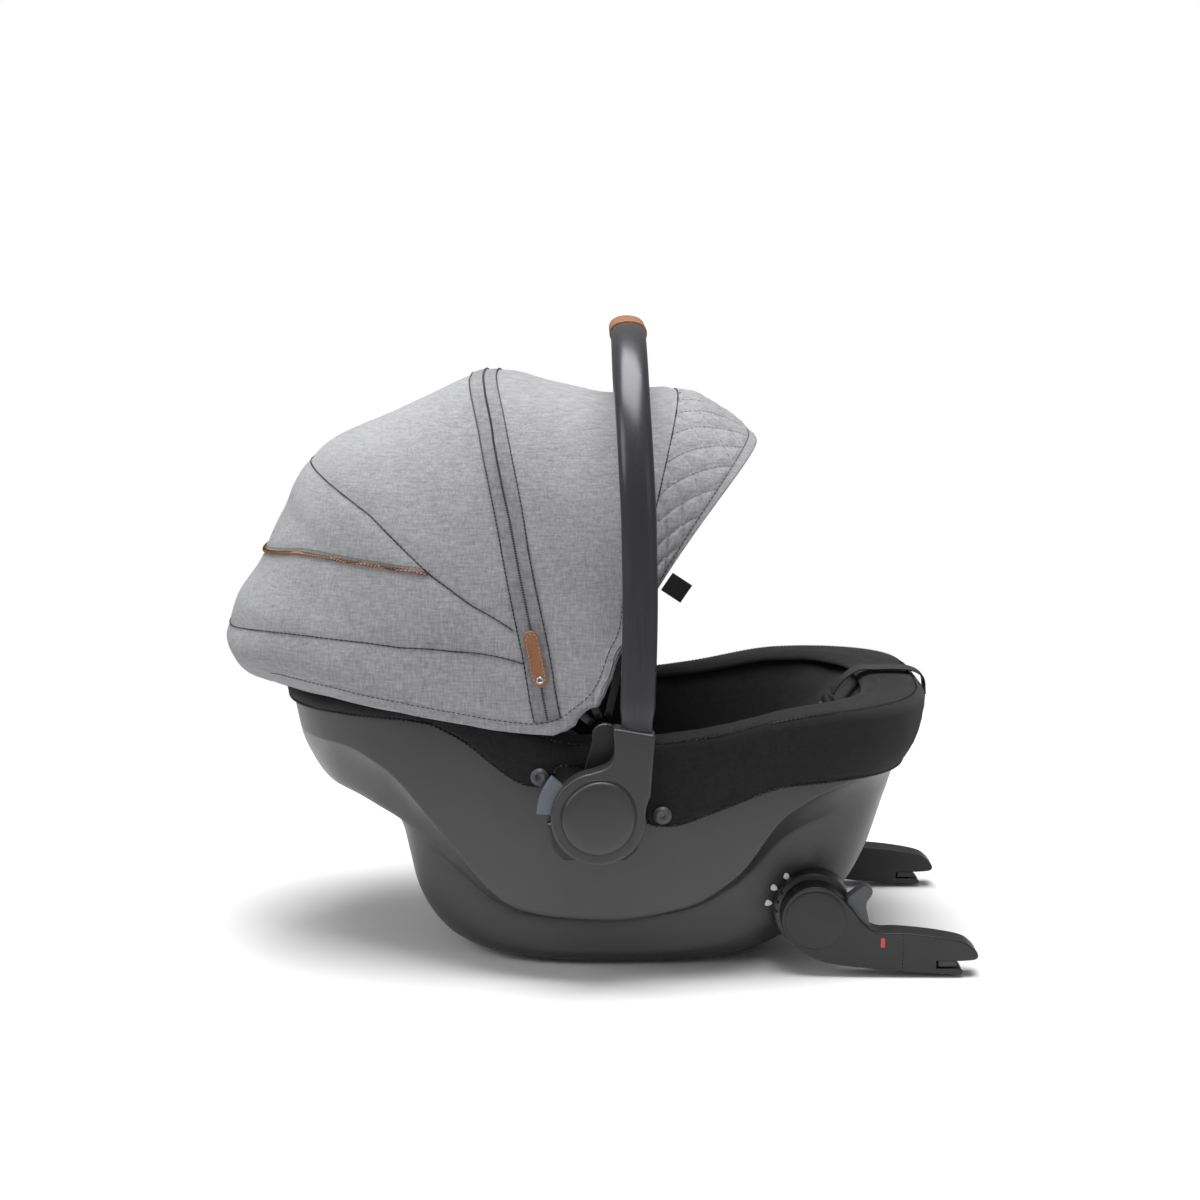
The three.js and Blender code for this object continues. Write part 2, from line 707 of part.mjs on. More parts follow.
// bow: flat strip bent over the seat, with an eye at each side of the canopy's axis
function bow(angle, peak, layer, thickness) {
  const [innerWidth, outerWidth] = layer;
  const shares = 20;
  const [px, pz] = CANOPY_AXIS;
  const sideways = new THREE.Vector3(Math.cos(angle * DEG), 0, -Math.sin(angle * DEG));
  const sections = [];
  for (let k = 0; k <= shares; k++) {
    const [yOut, rOut] = archPoint(k / shares, peak, outerWidth, 7);
    const [yIn, rIn] = archPoint(k / shares, peak - thickness, innerWidth, 7);
    const outer = onCanopy(angle, rOut, yOut);
    const inner = onCanopy(angle, rIn, yIn);
    sections.push([
      outer.clone().addScaledVector(sideways, -BOW_WIDTH / 2),
      outer.clone().addScaledVector(sideways, BOW_WIDTH / 2),
      inner.clone().addScaledVector(sideways, BOW_WIDTH / 2),
      inner.clone().addScaledVector(sideways, -BOW_WIDTH / 2),
    ]);
  }
  const eyes = [-1, 1].map((side) => barY(9, px, pz, side * innerWidth, side * outerWidth, 24));
  const holes = [-1, 1].map((side) => barY(4.1, px, pz, side * 165, side * 190, 24));
  return cut(joined(loft(sections), ...eyes), ...holes);
}

// quilted sun visor in front of the front bow, running out to nothing at the sides
function visor() {
  const start = 92;
  const shares = PANEL_SHARES;
  const [innerWidth, outerWidth] = FRONT_LAYER;
  const reach = (radius) => {
    const share = Math.min(1, Math.max(0, (radius - VISOR_START) / (VISOR_RADIUS - VISOR_START)));
    return FRONT_BOW_ANGLE + VISOR_REACH * share ** 0.6;
  };
  const sections = [];
  for (let i = 0; i <= 3; i++) {
    const t = i / 3;
    const make = (halfWidth, drop) => {
      const line = [];
      for (let k = 0; k <= shares; k++) {
        const peak = frontPeak(FRONT_BOW_ANGLE + VISOR_REACH * t) - drop;
        const [y, radius] = archPoint(k / shares, peak, halfWidth, start);
        const from = FRONT_BOW_ANGLE + Math.asin(BOW_CLEARANCE / radius) / DEG;
        line.push(onCanopy(from + (reach(radius) - from) * t, radius, y));
      }
      return line;
    };
    sections.push([...make(outerWidth, 0), ...make(innerWidth, outerWidth - innerWidth).reverse()]);
  }
  return loft(sections);
}

// bracket from the handle's boss up to the canopy's axis, with the pivot pin
function canopyMount() {
  const [px, pz] = CANOPY_AXIS;
  const points = [];
  for (let a = 112; a >= 62; a -= 10) {
    points.push(around(HANDLE_AXIS, BOSS_RADIUS + 0.6, a));
  }
  for (let a = -20; a <= 200; a += 20) points.push(around(CANOPY_AXIS, 11, a));
  const pin = barY(4, px, pz, -171, -188);
  const pinHead = barY(7, px, pz, -168.6, -171.4);
  return joined(plate(points, -185, -191, 1), pin, pinHead);
}

function zipPull() {
  const lean = -12.5;
  const tab = roundedBox([13, 2.4, 50], [0, 0, 0], 1);
  tab.rotateY(lean * DEG);
  const at = onCanopy(-41.8, 88.5, -(MID_LAYER[1] + 5.9));
  tab.translate(at.x, at.y, at.z);
  return tab;
}

function edgeTag() {
  const tag = roundedBox([20, 1.6, 18], [0, 0, 0], 0.6);
  tag.rotateY(-34 * DEG);
  tag.translate(33, -177.6, 354);
  return tag;
}

// ---------- ISOFIX arms ----------
function isofixArm() {
  const [cx, cz] = ISOFIX_AXIS;
  const points = [];
  for (let a = 48; a <= 225; a += 11.8) points.push(around(ISOFIX_AXIS, 30, a));
  points.push([146, 24], [160, 16.5], [178, 11.5], [207, 8], [240, 5], [284, 2.4], [290, 4.4], [287, 8]);
  points.push([266, 8], [266, 15], [287, 15], [300, 16.5], [303, 20], [298, 27], [288, 33], [262, 38]);
  points.push([232, 41], [217, 41], [207, 44.5], [199, 51], [191, 62]);
  const body = plate(points, -ISOFIX_INNER_Y, -ISOFIX_OUTER_Y, 1.6);
  const bore = barY(PIN_BORE, cx, cz, -120, -148.6);
  const leverSlot = new THREE.BoxGeometry(26, 15.4, 60).translate(197.6, -139.5, 70);
  const window = new THREE.BoxGeometry(4.6, 4, 9.6).translate(218, -151.4, 32);
  return cut(body, bore, leverSlot, window);
}

function isofixLever() {
  return plate([
    [186, 41], [206, 41], [205.6, 52], [203.6, 66], [208.4, 74], [208.2, 79.5], [201.5, 82], [191, 75], [186, 68],
  ], -132.2, -146.8, 1.2);
}

function isofixLatch() {
  return plate([[271, 8.4], [279, 8.4], [282.6, 11.4], [279, 14.6], [271, 14.6]], -132.5, -146.5, 0);
}

// ---------- assembly ----------
add('shell', shellBody(), PLASTIC);
add('foam_liner', liner(), FOAM);
add('seat_pad', seatPad(), KNIT);
add('infant_insert', infantInsert(), SOFT_KNIT);
add('seat_cover', seatCover(), KNIT);
addPair('cover_snap_rear', coverSnap(-84, 189, 178.4), GREY_PLASTIC);
addPair('cover_snap_front', coverSnap(22, 155, 178), GREY_PLASTIC);
add('headrest', headrest(), SOFT_KNIT);
addPair('shoulder_strap', webbing(SHOULDER_PATH, 26), WEBBING);
addPair('shoulder_pad', shoulderPad(), SOFT_KNIT);
add('buckle_body', buckleBody(), BLACK_PLASTIC);
add('buckle_button', buckleButton(), RED_PLASTIC);
addPair('buckle_tongue', buckleTongue(), STEEL);
add('crotch_strap', webbing([[69, 0, 108.5], [62, 0, 111.5], [54, 0, 115.6]], 26), WEBBING);
add('adjuster_housing', cut(
  roundedBox([30, 44, 11], [178.5, 0, 206], 3, -66),
  roundedBox([16.6, 24.6, 20], [172.6, 0, 208.6], 1.5, -66),
), BLACK_PLASTIC);
add('adjuster_button', roundedBox([16, 24, 7], [174.5, 0, 207.8], 1.5, -66), GREY_PLASTIC);
add('adjuster_strap', webbing(ADJUSTER_STRAP_PATH, 22), WEBBING);

addPair('handle_pivot', handlePivot(), STEEL);
addPair('handle_hub', handleHub(), PLASTIC);
addPair('hub_cap', hubCap(), PLASTIC);
addPair('handle_button', handleButton(), BUTTON_PLASTIC);
add('handle_tube', handleTube(), HANDLE_METAL);
add('handle_grip', handleGrip(), LEATHER);
addPair('adapter_socket', adapterSocket(), BLACK_PLASTIC);

addPair('canopy_mount', canopyMount(), BLACK_PLASTIC);
add('bow_rear', bow(REAR_BOW_ANGLE, 346, REAR_LAYER, 6), BLACK_PLASTIC);
add('bow_mid', bow(MID_BOW_ANGLE, 315, MID_LAYER, 6), CANOPY_BAND);
add('bow_front', bow(FRONT_BOW_ANGLE, 286, FRONT_LAYER, 5), BLACK_PLASTIC);
add('canopy_rear', canopyPanel(rearPeak, REAR_LAYER, CANOPY_REAR_END, REAR_BOW_ANGLE, 24, 7), CANOPY_FABRIC);
add('canopy_mid', canopyPanel(midPeak, MID_LAYER, REAR_BOW_ANGLE, MID_BOW_ANGLE, 24, 4), CANOPY_FABRIC);
add('canopy_front', canopyPanel(frontPeak, FRONT_LAYER, MID_BOW_ANGLE, FRONT_BOW_ANGLE, 28, 4), CANOPY_FABRIC);
add('canopy_visor', visor(), CANOPY_FABRIC);
add('zip_pull', zipPull(), LEATHER);
add('edge_tag', edgeTag(), BLACK_PLASTIC);

addPair('isofix_arm', isofixArm(), BLACK_PLASTIC);
addPair('isofix_pivot', barY(PIN_RADIUS, ...ISOFIX_AXIS, -105, -148), STEEL);
addPair('isofix_lever', isofixLever(), GREY_PLASTIC);
addPair('isofix_latch', isofixLatch(), BLACK_PLASTIC);
addPair('isofix_indicator', roundedBox([4, 2.7, 9], [218, -151, 32], 0.6), RED_PLASTIC);

export default seat;
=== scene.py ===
"""Infant car seat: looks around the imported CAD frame. Metres in Blender; drawing code works in millimetres."""

import math

import bmesh
import bpy
import numpy as np
from mathutils import Matrix, Vector, noise
from mathutils.bvhtree import BVHTree


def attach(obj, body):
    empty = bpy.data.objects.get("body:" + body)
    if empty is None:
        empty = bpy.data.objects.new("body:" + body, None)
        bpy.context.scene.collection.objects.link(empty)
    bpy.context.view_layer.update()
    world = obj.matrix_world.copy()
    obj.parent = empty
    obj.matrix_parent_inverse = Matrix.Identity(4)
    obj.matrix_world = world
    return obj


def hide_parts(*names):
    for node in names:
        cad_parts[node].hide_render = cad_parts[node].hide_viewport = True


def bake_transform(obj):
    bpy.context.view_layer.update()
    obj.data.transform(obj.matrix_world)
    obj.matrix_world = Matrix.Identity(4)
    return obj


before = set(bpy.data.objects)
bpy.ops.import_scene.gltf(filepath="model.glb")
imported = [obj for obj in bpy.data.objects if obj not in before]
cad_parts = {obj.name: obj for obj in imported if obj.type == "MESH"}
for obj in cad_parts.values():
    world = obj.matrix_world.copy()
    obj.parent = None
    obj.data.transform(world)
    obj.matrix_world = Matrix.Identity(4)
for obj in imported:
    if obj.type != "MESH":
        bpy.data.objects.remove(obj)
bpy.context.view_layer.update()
MM = 0.001
SIDES = (("r", -1), ("l", 1))  # the occupant's right is -Y

# ---------- camera ----------
CAMERA_ELEVATION = math.radians(9.4)
CAMERA_DISTANCE = 2.086
CAMERA_TARGET = Vector((-0.032, 0, 0.314))
CAMERA_LENS = 67.3


def make_camera():
    data = bpy.data.cameras.new("camera")
    camera = bpy.data.objects.new("camera", data)
    bpy.context.scene.collection.objects.link(camera)
    back = Vector((0, -math.cos(CAMERA_ELEVATION), math.sin(CAMERA_ELEVATION)))
    camera.location = CAMERA_TARGET + back * CAMERA_DISTANCE
    camera.rotation_euler = (-back).to_track_quat("-Z", "Y").to_euler()
    data.sensor_width = 36
    data.lens = CAMERA_LENS
    data.clip_end = 50
    bpy.context.scene.camera = camera


make_camera()


# ---------- materials ----------
class Nodes:
    """Short names for building a node tree."""

    def __init__(self, name):
        self.material = bpy.data.materials.new(name)
        self.material.use_nodes = True
        self.tree = self.material.node_tree
        self.shader = self.tree.nodes["Principled BSDF"]
        self.place = self.tree.nodes.new("ShaderNodeTexCoord").outputs["Object"]

    def add(self, kind, **values):
        node = self.tree.nodes.new("ShaderNode" + kind)
        for key, value in values.items():
            setattr(node, key, value)
        return node

    def put(self, node, **sockets):
        for name, value in sockets.items():
            socket = node.inputs[name.replace("_", " ")]
            if isinstance(value, bpy.types.NodeSocket):
                self.tree.links.new(value, socket)
            else:
                socket.default_value = value
        return node

    def scaled(self, vector):
        return self.put(self.add("Mapping"), Vector=self.place, Scale=vector).outputs["Vector"]

    def noise(self, scale, detail=3.0, stretch=(1, 1, 1), rough=0.5):
        node = self.put(
            self.add("TexNoise"), Vector=self.scaled(stretch), Scale=scale, Detail=detail, Roughness=rough
        )
        return node.outputs["Fac"]

    def bands(self, scale, direction, distortion=0.0):
        node = self.add("TexWave", wave_type="BANDS", bands_direction=direction, wave_profile="SIN")
        self.put(node, Vector=self.place, Scale=scale, Distortion=distortion, Detail=1.0)
        node.inputs["Detail Scale"].default_value = 2.0
        return node.outputs["Fac"]

    def math(self, operation, a, b=0.5, c=None):
        node = self.add("Math", operation=operation)
        for i, value in enumerate((a, b) if c is None else (a, b, c)):
            if isinstance(value, bpy.types.NodeSocket):
                self.tree.links.new(value, node.inputs[i])
            else:
                node.inputs[i].default_value = value
        return node.outputs[0]

    def ramp(self, factor, stops):
        node = self.put(self.add("ValToRGB"), Fac=factor)
        elements = node.color_ramp.elements
        while len(elements) < len(stops):
            elements.new(0.5)
        for element, (at, color) in zip(elements, stops):
            element.position = at
            element.color = (*color, 1)
        return node.outputs["Color"]

    def span(self, factor, low, high):
        node = self.put(self.add("MapRange"), Value=factor)
        node.inputs["To Min"].default_value = low
        node.inputs["To Max"].default_value = high
        return node.outputs["Result"]

    def bump(self, height, distance, strength=0.6):
        node = self.put(self.add("Bump"), Height=height, Distance=distance, Strength=strength)
        self.put(self.shader, Normal=node.outputs["Normal"])


def plastic(name, color, rough=0.42, grain=0.00012, spread=0.12, scale=900.0, coat=0.0):
    """Moulded plastic: fine grain, faint mottling and uneven gloss from handling."""
    n = Nodes(name)
    mottle = n.noise(9.0, 4.0)
    dark = tuple(c * (1 - spread) for c in color)
    light = tuple(c * (1 + spread) for c in color)
    n.put(n.shader, Base_Color=n.ramp(mottle, [(0.3, dark), (0.7, light)]))
    n.put(n.shader, Roughness=n.span(n.noise(40.0, 5.0), rough - 0.06, rough + 0.08))
    n.shader.inputs["Coat Weight"].default_value = coat
    n.bump(n.noise(scale, 2.0), grain)
    return n.material


def cloth(name, dark, light, thread=1100.0, melange=(260.0, 0.16), bump=0.00022, sheen=0.25, rough=0.9):
    """Woven cloth: two crossed thread systems and a melange of lighter and darker yarns."""
    n = Nodes(name)
    scale, ratio = melange
    warp = n.noise(scale, 3.0, (1, 1, ratio), 0.65)
    weft = n.noise(scale, 3.0, (ratio, ratio, 1), 0.65)
    yarns = n.math("ADD", n.math("MULTIPLY", warp, 0.5), n.math("MULTIPLY", weft, 0.5))
    broad = n.noise(7.0, 3.0)
    shade = n.math("ADD", n.math("MULTIPLY", yarns, 0.8), n.math("MULTIPLY", broad, 0.2))
    middle = tuple((a + b) / 2 for a, b in zip(dark, light))
    n.put(n.shader, Base_Color=n.ramp(shade, [(0.36, dark), (0.5, middle), (0.64, light)]))
    n.put(n.shader, Roughness=n.span(yarns, rough - 0.08, rough + 0.06))
    threads = n.math("MULTIPLY", n.bands(thread, "X", 0.6), n.bands(thread, "Z", 0.6))
    threads = n.math("ADD", threads, n.math("MULTIPLY", n.bands(thread, "Y", 0.6), 0.5))
    n.bump(n.math("ADD", threads, n.math("MULTIPLY", yarns, 0.8)), bump, 0.7)
    n.shader.inputs["Sheen Weight"].default_value = sheen
    n.shader.inputs["Sheen Roughness"].default_value = 0.45
    n.shader.inputs["Specular IOR Level"].default_value = 0.25
    return n.material


def leather(name, color):
    """Tan leather: pebbled grain, darker pores and patchy dye."""
    n = Nodes(name)
    cells = n.put(n.add("TexVoronoi", feature="DISTANCE_TO_EDGE"), Vector=n.place, Scale=520.0)
    grain = n.span(cells.outputs["Distance"], 0.0, 1.0)
    patch = n.noise(45.0, 5.0)
    tone = n.math("ADD", n.math("MULTIPLY", grain, 0.6), n.math("MULTIPLY", patch, 0.8))
    dark = tuple(c * 0.6 for c in color)
    light = tuple(min(1, c * 1.25) for c in color)
    n.put(n.shader, Base_Color=n.ramp(tone, [(0.25, dark), (0.5, color), (0.75, light)]))
    n.put(n.shader, Roughness=n.span(patch, 0.42, 0.6))
    n.bump(n.math("ADD", grain, n.math("MULTIPLY", patch, 0.3)), 0.0003, 0.6)
    return n.material


def metal(name, color, rough, brush=(1, 1, 0.04), metallic=1.0):
    n = Nodes(name)
    streak = n.noise(500.0, 3.0, brush)
    dark = tuple(c * 0.88 for c in color)
    n.put(n.shader, Base_Color=n.ramp(streak, [(0.35, dark), (0.65, color)]))
    n.shader.inputs["Metallic"].default_value = metallic
    n.put(n.shader, Roughness=n.span(streak, rough - 0.04, rough + 0.06))
    n.bump(streak, 0.00004, 0.4)
    return n.material


def webbing_material(name, dark, light):
    n = Nodes(name)
    ribs = n.math("MULTIPLY", n.bands(420.0, "X", 0.3), n.bands(700.0, "Y", 0.2))
    yarn = n.noise(600.0, 3.0)
    weave = n.math("ADD", n.math("MULTIPLY", ribs, 0.5), n.math("MULTIPLY", yarn, 0.5))
    n.put(n.shader, Base_Color=n.ramp(weave, [(0.2, dark), (0.7, light)]))
    n.put(n.shader, Roughness=n.span(yarn, 0.55, 0.75))
    n.bump(n.math("ADD", ribs, yarn), 0.0003, 0.8)
    return n.material


SHELL = plastic("shell_plastic", (0.033, 0.0315, 0.0315), 0.36, 0.00010, 0.08)
BLACK = plastic("black_plastic", (0.006, 0.006, 0.0065), 0.42)
DARK = plastic("hub_plastic", (0.026, 0.025, 0.0255), 0.4, 0.00008)
GREY = plastic("grey_plastic", (0.052, 0.053, 0.056), 0.42)
BUTTON = plastic("button_plastic", (0.095, 0.1, 0.125), 0.45)
RED = plastic("red_plastic", (0.42, 0.012, 0.01), 0.28, 0.00003, 0.1, coat=0.4)
MARK = plastic("mark_paint", (0.8, 0.8, 0.79), 0.45, 0.00003, 0.03)
FOAM = plastic("foam", (0.03, 0.03, 0.032), 0.85, 0.0006, 0.2, 260.0)
KNIT = cloth(
    "knit", (0.004, 0.004, 0.005), (0.013, 0.0127, 0.0145), 900.0, (420.0, 0.4), 0.0003, 0.12, 0.92)
SOFT_KNIT = cloth(
    "soft_knit", (0.007, 0.007, 0.008), (0.021, 0.021, 0.024), 700.0, (300.0, 0.5), 0.0004, 0.2, 0.93)
CANOPY = cloth(
    "canopy_fabric", (0.185, 0.185, 0.193), (0.38, 0.381, 0.394), 1000.0, (620.0, 0.16), 0.0003, 0.3)
TAPE = cloth("zip_tape", (0.15, 0.15, 0.157), (0.29, 0.291, 0.305), 1500.0, (400.0, 0.2), 0.0002, 0.15)
THREAD = cloth("thread", (0.03, 0.03, 0.033), (0.075, 0.076, 0.08), 2500.0, (900.0, 0.5), 0.0001, 0.1)
STITCH = cloth("stitch", (0.2, 0.2, 0.215), (0.4, 0.4, 0.42), 2500.0, (900.0, 0.5), 0.0001, 0.1)
LEATHER = leather("leather", (0.235, 0.1, 0.042))
HANDLE = metal("handle_metal", (0.042, 0.041, 0.046), 0.3, (1, 1, 0.05), 0.35)
STEEL = metal("steel", (0.5, 0.5, 0.52), 0.28)
WEBBING = webbing_material("webbing", (0.006, 0.006, 0.007), (0.03, 0.03, 0.034))


# ---------- mesh helpers ----------
def new_object(name, mesh, material):
    obj = bpy.data.objects.new(name, mesh)
    bpy.context.scene.collection.objects.link(obj)
    mesh.materials.clear()
    mesh.materials.append(material)
    return obj


def from_faces(name, points, faces, material, smooth=True, weld=0.02):
    """Mesh piece from points in millimetres, welded, with its faces turned outwards."""
    mesh = bpy.data.meshes.new(name)
    mesh.from_pydata([tuple(p) for p in np.asarray(points, float) * MM], [], faces)
    tool = bmesh.new()
    tool.from_mesh(mesh)
    bmesh.ops.remove_doubles(tool, verts=tool.verts, dist=weld * MM)
    bmesh.ops.dissolve_degenerate(tool, edges=tool.edges, dist=weld * 0.5 * MM)
    bmesh.ops.recalc_face_normals(tool, faces=tool.faces)
    tool.to_mesh(mesh)
    tool.free()
    if smooth:
        mesh.shade_smooth()
    return new_object(name, mesh, material)


def grid_faces(rows, columns, wrap_rows=False, wrap_columns=False):
    faces = []
    for i in range(rows if wrap_rows else rows - 1):
        for j in range(columns if wrap_columns else columns - 1):
            a = i * columns + j
            b = i * columns + (j + 1) % columns
            c = ((i + 1) % rows) * columns + (j + 1) % columns
            d = ((i + 1) % rows) * columns + j
            faces.append((a, b, c, d))
    return faces


def skin(name, grid, material, wrap_rows=False, wrap_columns=False, caps=False, weld=0.02):
    """Surface over a rows x columns grid of points; caps close the first and the last row."""
    grid = np.asarray(grid, float)
    rows, columns = grid.shape[:2]
    faces = grid_faces(rows, columns, wrap_rows, wrap_columns)
    points = grid.reshape(-1, 3)
    if caps:
        for row in (0, rows - 1):
            middle = len(points)
            points = np.vstack([points, grid[row].mean(0)])
            base = row * columns
            faces += [(base + j, base + (j + 1) % columns, middle) for j in range(columns)]
    return from_faces(name, points, faces, material, weld=weld)


def smooth_curve(points, count, closed=False):
    """Catmull-Rom curve through the points, resampled to equal steps."""
    p = np.asarray(points, float)
    n = len(p)
    if closed:
        p = np.vstack([p[-1], p, p[0], p[1]])
    else:
        p = np.vstack([2 * p[0] - p[1], p, 2 * p[-1] - p[-2]])
    spans = n if closed else n - 1
    dense = []
    for i in range(spans):
        a, b, c, d = p[i : i + 4]
        for t in np.linspace(0, 1, 12, endpoint=False):
            dense.append(
                0.5 * (2 * b + (c - a) * t + (2 * a - 5 * b + 4 * c - d) * t * t
                       + (3 * b - a - 3 * c + d) * t ** 3)
            )
    dense.append(p[spans + 1] if not closed else dense[0])
    return resample(np.array(dense), count, closed)


def resample(line, count, closed=False):
    steps = np.r_[0, np.cumsum(np.linalg.norm(np.diff(line, axis=0), axis=1))]
    at = np.linspace(0, steps[-1], count + 1)[:-1] if closed else np.linspace(0, steps[-1], count)
    return np.stack([np.interp(at, steps, line[:, k]) for k in range(line.shape[1])], 1)


def smooth_line(line, x):
    """Value at x of a smooth line through [x, value] points, level at peaks and valleys."""
    xs, vs = np.array(line, float).T
    slope = np.diff(vs) / np.diff(xs)
    tangent = np.zeros(len(xs))
    inner = slope[:-1] * slope[1:]
    tangent[1:-1] = np.where(inner > 0, 2 * inner / np.where(inner > 0, slope[:-1] + slope[1:], 1), 0)
    tangent[0], tangent[-1] = slope[0], slope[-1]
    x = np.clip(np.asarray(x, float), xs[0], xs[-1])
    i = np.clip(np.searchsorted(xs, x) - 1, 0, len(xs) - 2)
    h = xs[i + 1] - xs[i]
    t = (x - xs[i]) / h
    return ((1 + 2 * t) * (1 - t) ** 2 * vs[i] + t * (1 - t) ** 2 * h * tangent[i]
            + t * t * (3 - 2 * t) * vs[i + 1] + t * t * (t - 1) * h * tangent[i + 1])


def tube(name, line, radius, material, sides=8, closed=False, flat=None, normal=None):
    """Round cord along a line, or a flat one: flat = (half width, half thickness), normal per point."""
    line = np.asarray(line, float)
    n = len(line)
    if closed:
        tangent = np.roll(line, -1, 0) - np.roll(line, 1, 0)
    else:
        tangent = np.gradient(line, axis=0)
    tangent /= np.linalg.norm(tangent, axis=1)[:, None]
    rows = []
    side = None
    for i in range(n):
        t = tangent[i]
        if normal is not None:
            up = np.asarray(normal[i] if np.ndim(normal) > 1 else normal, float)
        elif side is None:
            up = np.array([0, 0, 1.0]) if abs(t[2]) < 0.9 else np.array([1.0, 0, 0])
        else:
            up = np.cross(side, t) * -1
        side = np.cross(t, up)
        side /= np.linalg.norm(side) + 1e-12
        up = np.cross(side, t)
        a, b = flat if flat else (radius, radius)
        corner = 2 if flat is None else 4
        row = []
        for k in range(sides):
            angle = (k + 0.5) / sides * 2 * math.pi
            c, s = math.cos(angle), math.sin(angle)
            row.append(line[i] + side * a * math.copysign(abs(c) ** (2 / corner), c)
                       + up * b * math.copysign(abs(s) ** (2 / corner), s))
        rows.append(row)
    return skin(name, rows, material, wrap_rows=closed, wrap_columns=True, caps=not closed)


def stitches(name, line, material, length=3.2, gap=1.6, radius=0.42, lift=0.3, normal=None):
    """Row of short thread stitches along a line, one mesh."""
    line = np.asarray(line, float)
    steps = np.r_[0, np.cumsum(np.linalg.norm(np.diff(line, axis=0), axis=1))]
    points, faces = [], []
    count = int(steps[-1] / (length + gap))
    for i in range(count):
        ends = [i * (length + gap), i * (length + gap) + length]
        a, b = (np.array([np.interp(e, steps, line[:, k]) for k in range(3)]) for e in ends)
        t = (b - a) / (np.linalg.norm(b - a) + 1e-9)
        up = np.array([0, 0, 1.0]) if abs(t[2]) < 0.9 else np.array([1.0, 0, 0])
        if normal is not None:
            up = np.array([np.interp(ends[0], steps, normal[:, k]) for k in range(3)])
        side = np.cross(t, up)
        side /= np.linalg.norm(side) + 1e-9
        up = np.cross(side, t)
        base = len(points)
        for share, size in ((0, 0.35), (0.2, 1), (0.8, 1), (1, 0.35)):
            centre = a + (b - a) * share + up * lift * math.sin(math.pi * share)
            for k in range(5):
                angle = k / 5 * 2 * math.pi
                points.append(centre + (side * math.cos(angle) + up * math.sin(angle)) * radius * size)
        for r in range(3):
            for k in range(5):
                faces.append((base + r * 5 + k, base + r * 5 + (k + 1) % 5,
                              base + (r + 1) * 5 + (k + 1) % 5, base + (r + 1) * 5 + k))
        faces.append(tuple(base + k for k in range(5)))
        faces.append(tuple(base + 15 + k for k in range(5)))
    return from_faces(name, points, faces, material, weld=0.001)


def bevelled(obj, width, segments=3, angle=30):
    """Rounds the piece's sharp edges with a bevel modifier."""
    bevel = obj.modifiers.new("edge", "BEVEL")
    bevel.width = width * MM
    bevel.segments = segments
    bevel.limit_method = "ANGLE"
    bevel.angle_limit = math.radians(angle)
    bevel.harden_normals = True
    bevel.use_clamp_overlap = True
    return obj


def plate(name, outline, y0, y1, material, bevel=1.5, segments=3, angle=40):
    """Closed x, z outline given thickness between y0 and y1, with rounded edges."""
    n = len(outline)
    points = [(x, y0, z) for x, z in outline] + [(x, y1, z) for x, z in outline]
    faces = [tuple(range(n)), tuple(range(n, 2 * n))]
    faces += [(i, (i + 1) % n, n + (i + 1) % n, n + i) for i in range(n)]
    return bevelled(from_faces(name, points, faces, material), bevel, segments, angle)


def lathe_y(name, profile, x, z, side, material, steps=48):
    """Turned piece about an axis along Y; profile is [radius, |y|] from the outer middle inwards."""
    rows = []
    for radius, depth in profile:
        angle = np.arange(steps) / steps * 2 * math.pi
        rows.append(np.stack([x + radius * np.cos(angle), np.full(steps, side * depth),
                              z + radius * np.sin(angle)], 1))
    return skin(name, rows, material, wrap_columns=True, caps=True)


def arc(cx, cz, radius, start, end, count):
    angle = np.radians(np.linspace(start, end, count))
    return [(cx + radius * math.cos(a), cz + radius * math.sin(a)) for a in angle]


def rubbed(grid, amount, size, seed):
    """Grid of points moved by smooth noise, for the unevenness of soft goods."""
    grid = np.array(grid, float)
    flat = grid.reshape(-1, 3)
    shift = np.array([noise.noise_vector(Vector(p / size + seed)) for p in flat])
    return (flat + shift * amount).reshape(grid.shape)


def apply_modifiers(obj):
    depsgraph = bpy.context.evaluated_depsgraph_get()
    mesh = bpy.data.meshes.new_from_object(obj.evaluated_get(depsgraph))
    obj.modifiers.clear()
    obj.data = mesh


def inflate(obj, voxel=5.0, pressure=4.0, cap=8.0, frames=20):
    """Closed form filled by a cloth simulation; no point moves further than cap millimetres."""
    remesh = obj.modifiers.new("remesh", "REMESH")
    remesh.mode = "VOXEL"
    remesh.voxel_size = voxel * MM
    apply_modifiers(obj)
    rest = np.array([v.co for v in obj.data.vertices])
    cloth_modifier = obj.modifiers.new("cloth", "CLOTH")
    settings = cloth_modifier.settings
    settings.use_pressure = True
    settings.uniform_pressure_force = pressure
    settings.effector_weights.gravity = 0
    settings.quality = 4
    cloth_modifier.point_cache.frame_start = 1
    cloth_modifier.point_cache.frame_end = frames
    scene = bpy.context.scene
    for number in range(1, frames + 1):
        scene.frame_set(number)
    apply_modifiers(obj)
    moved = np.array([v.co for v in obj.data.vertices])
    shift = moved - rest
    length = np.linalg.norm(shift, axis=1)
    limit = np.minimum(1, cap * MM / np.maximum(length, 1e-9))
    obj.data.vertices.foreach_set("co", (rest + shift * limit[:, None]).astype(np.float32).ravel())
    scene.frame_set(1)
    smooth = obj.modifiers.new("smooth", "SMOOTH")
    smooth.factor, smooth.iterations = 0.5, 4
    finer = obj.modifiers.new("finer", "SUBSURF")
    finer.levels = finer.render_levels = 1
    apply_modifiers(obj)
    obj.data.shade_smooth()
    return obj


def stand(obj, body, slot, *nodes):
    """The piece rides a body and replaces CAD nodes."""
    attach(obj, body)
    if nodes:
        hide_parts(*nodes)
    return obj


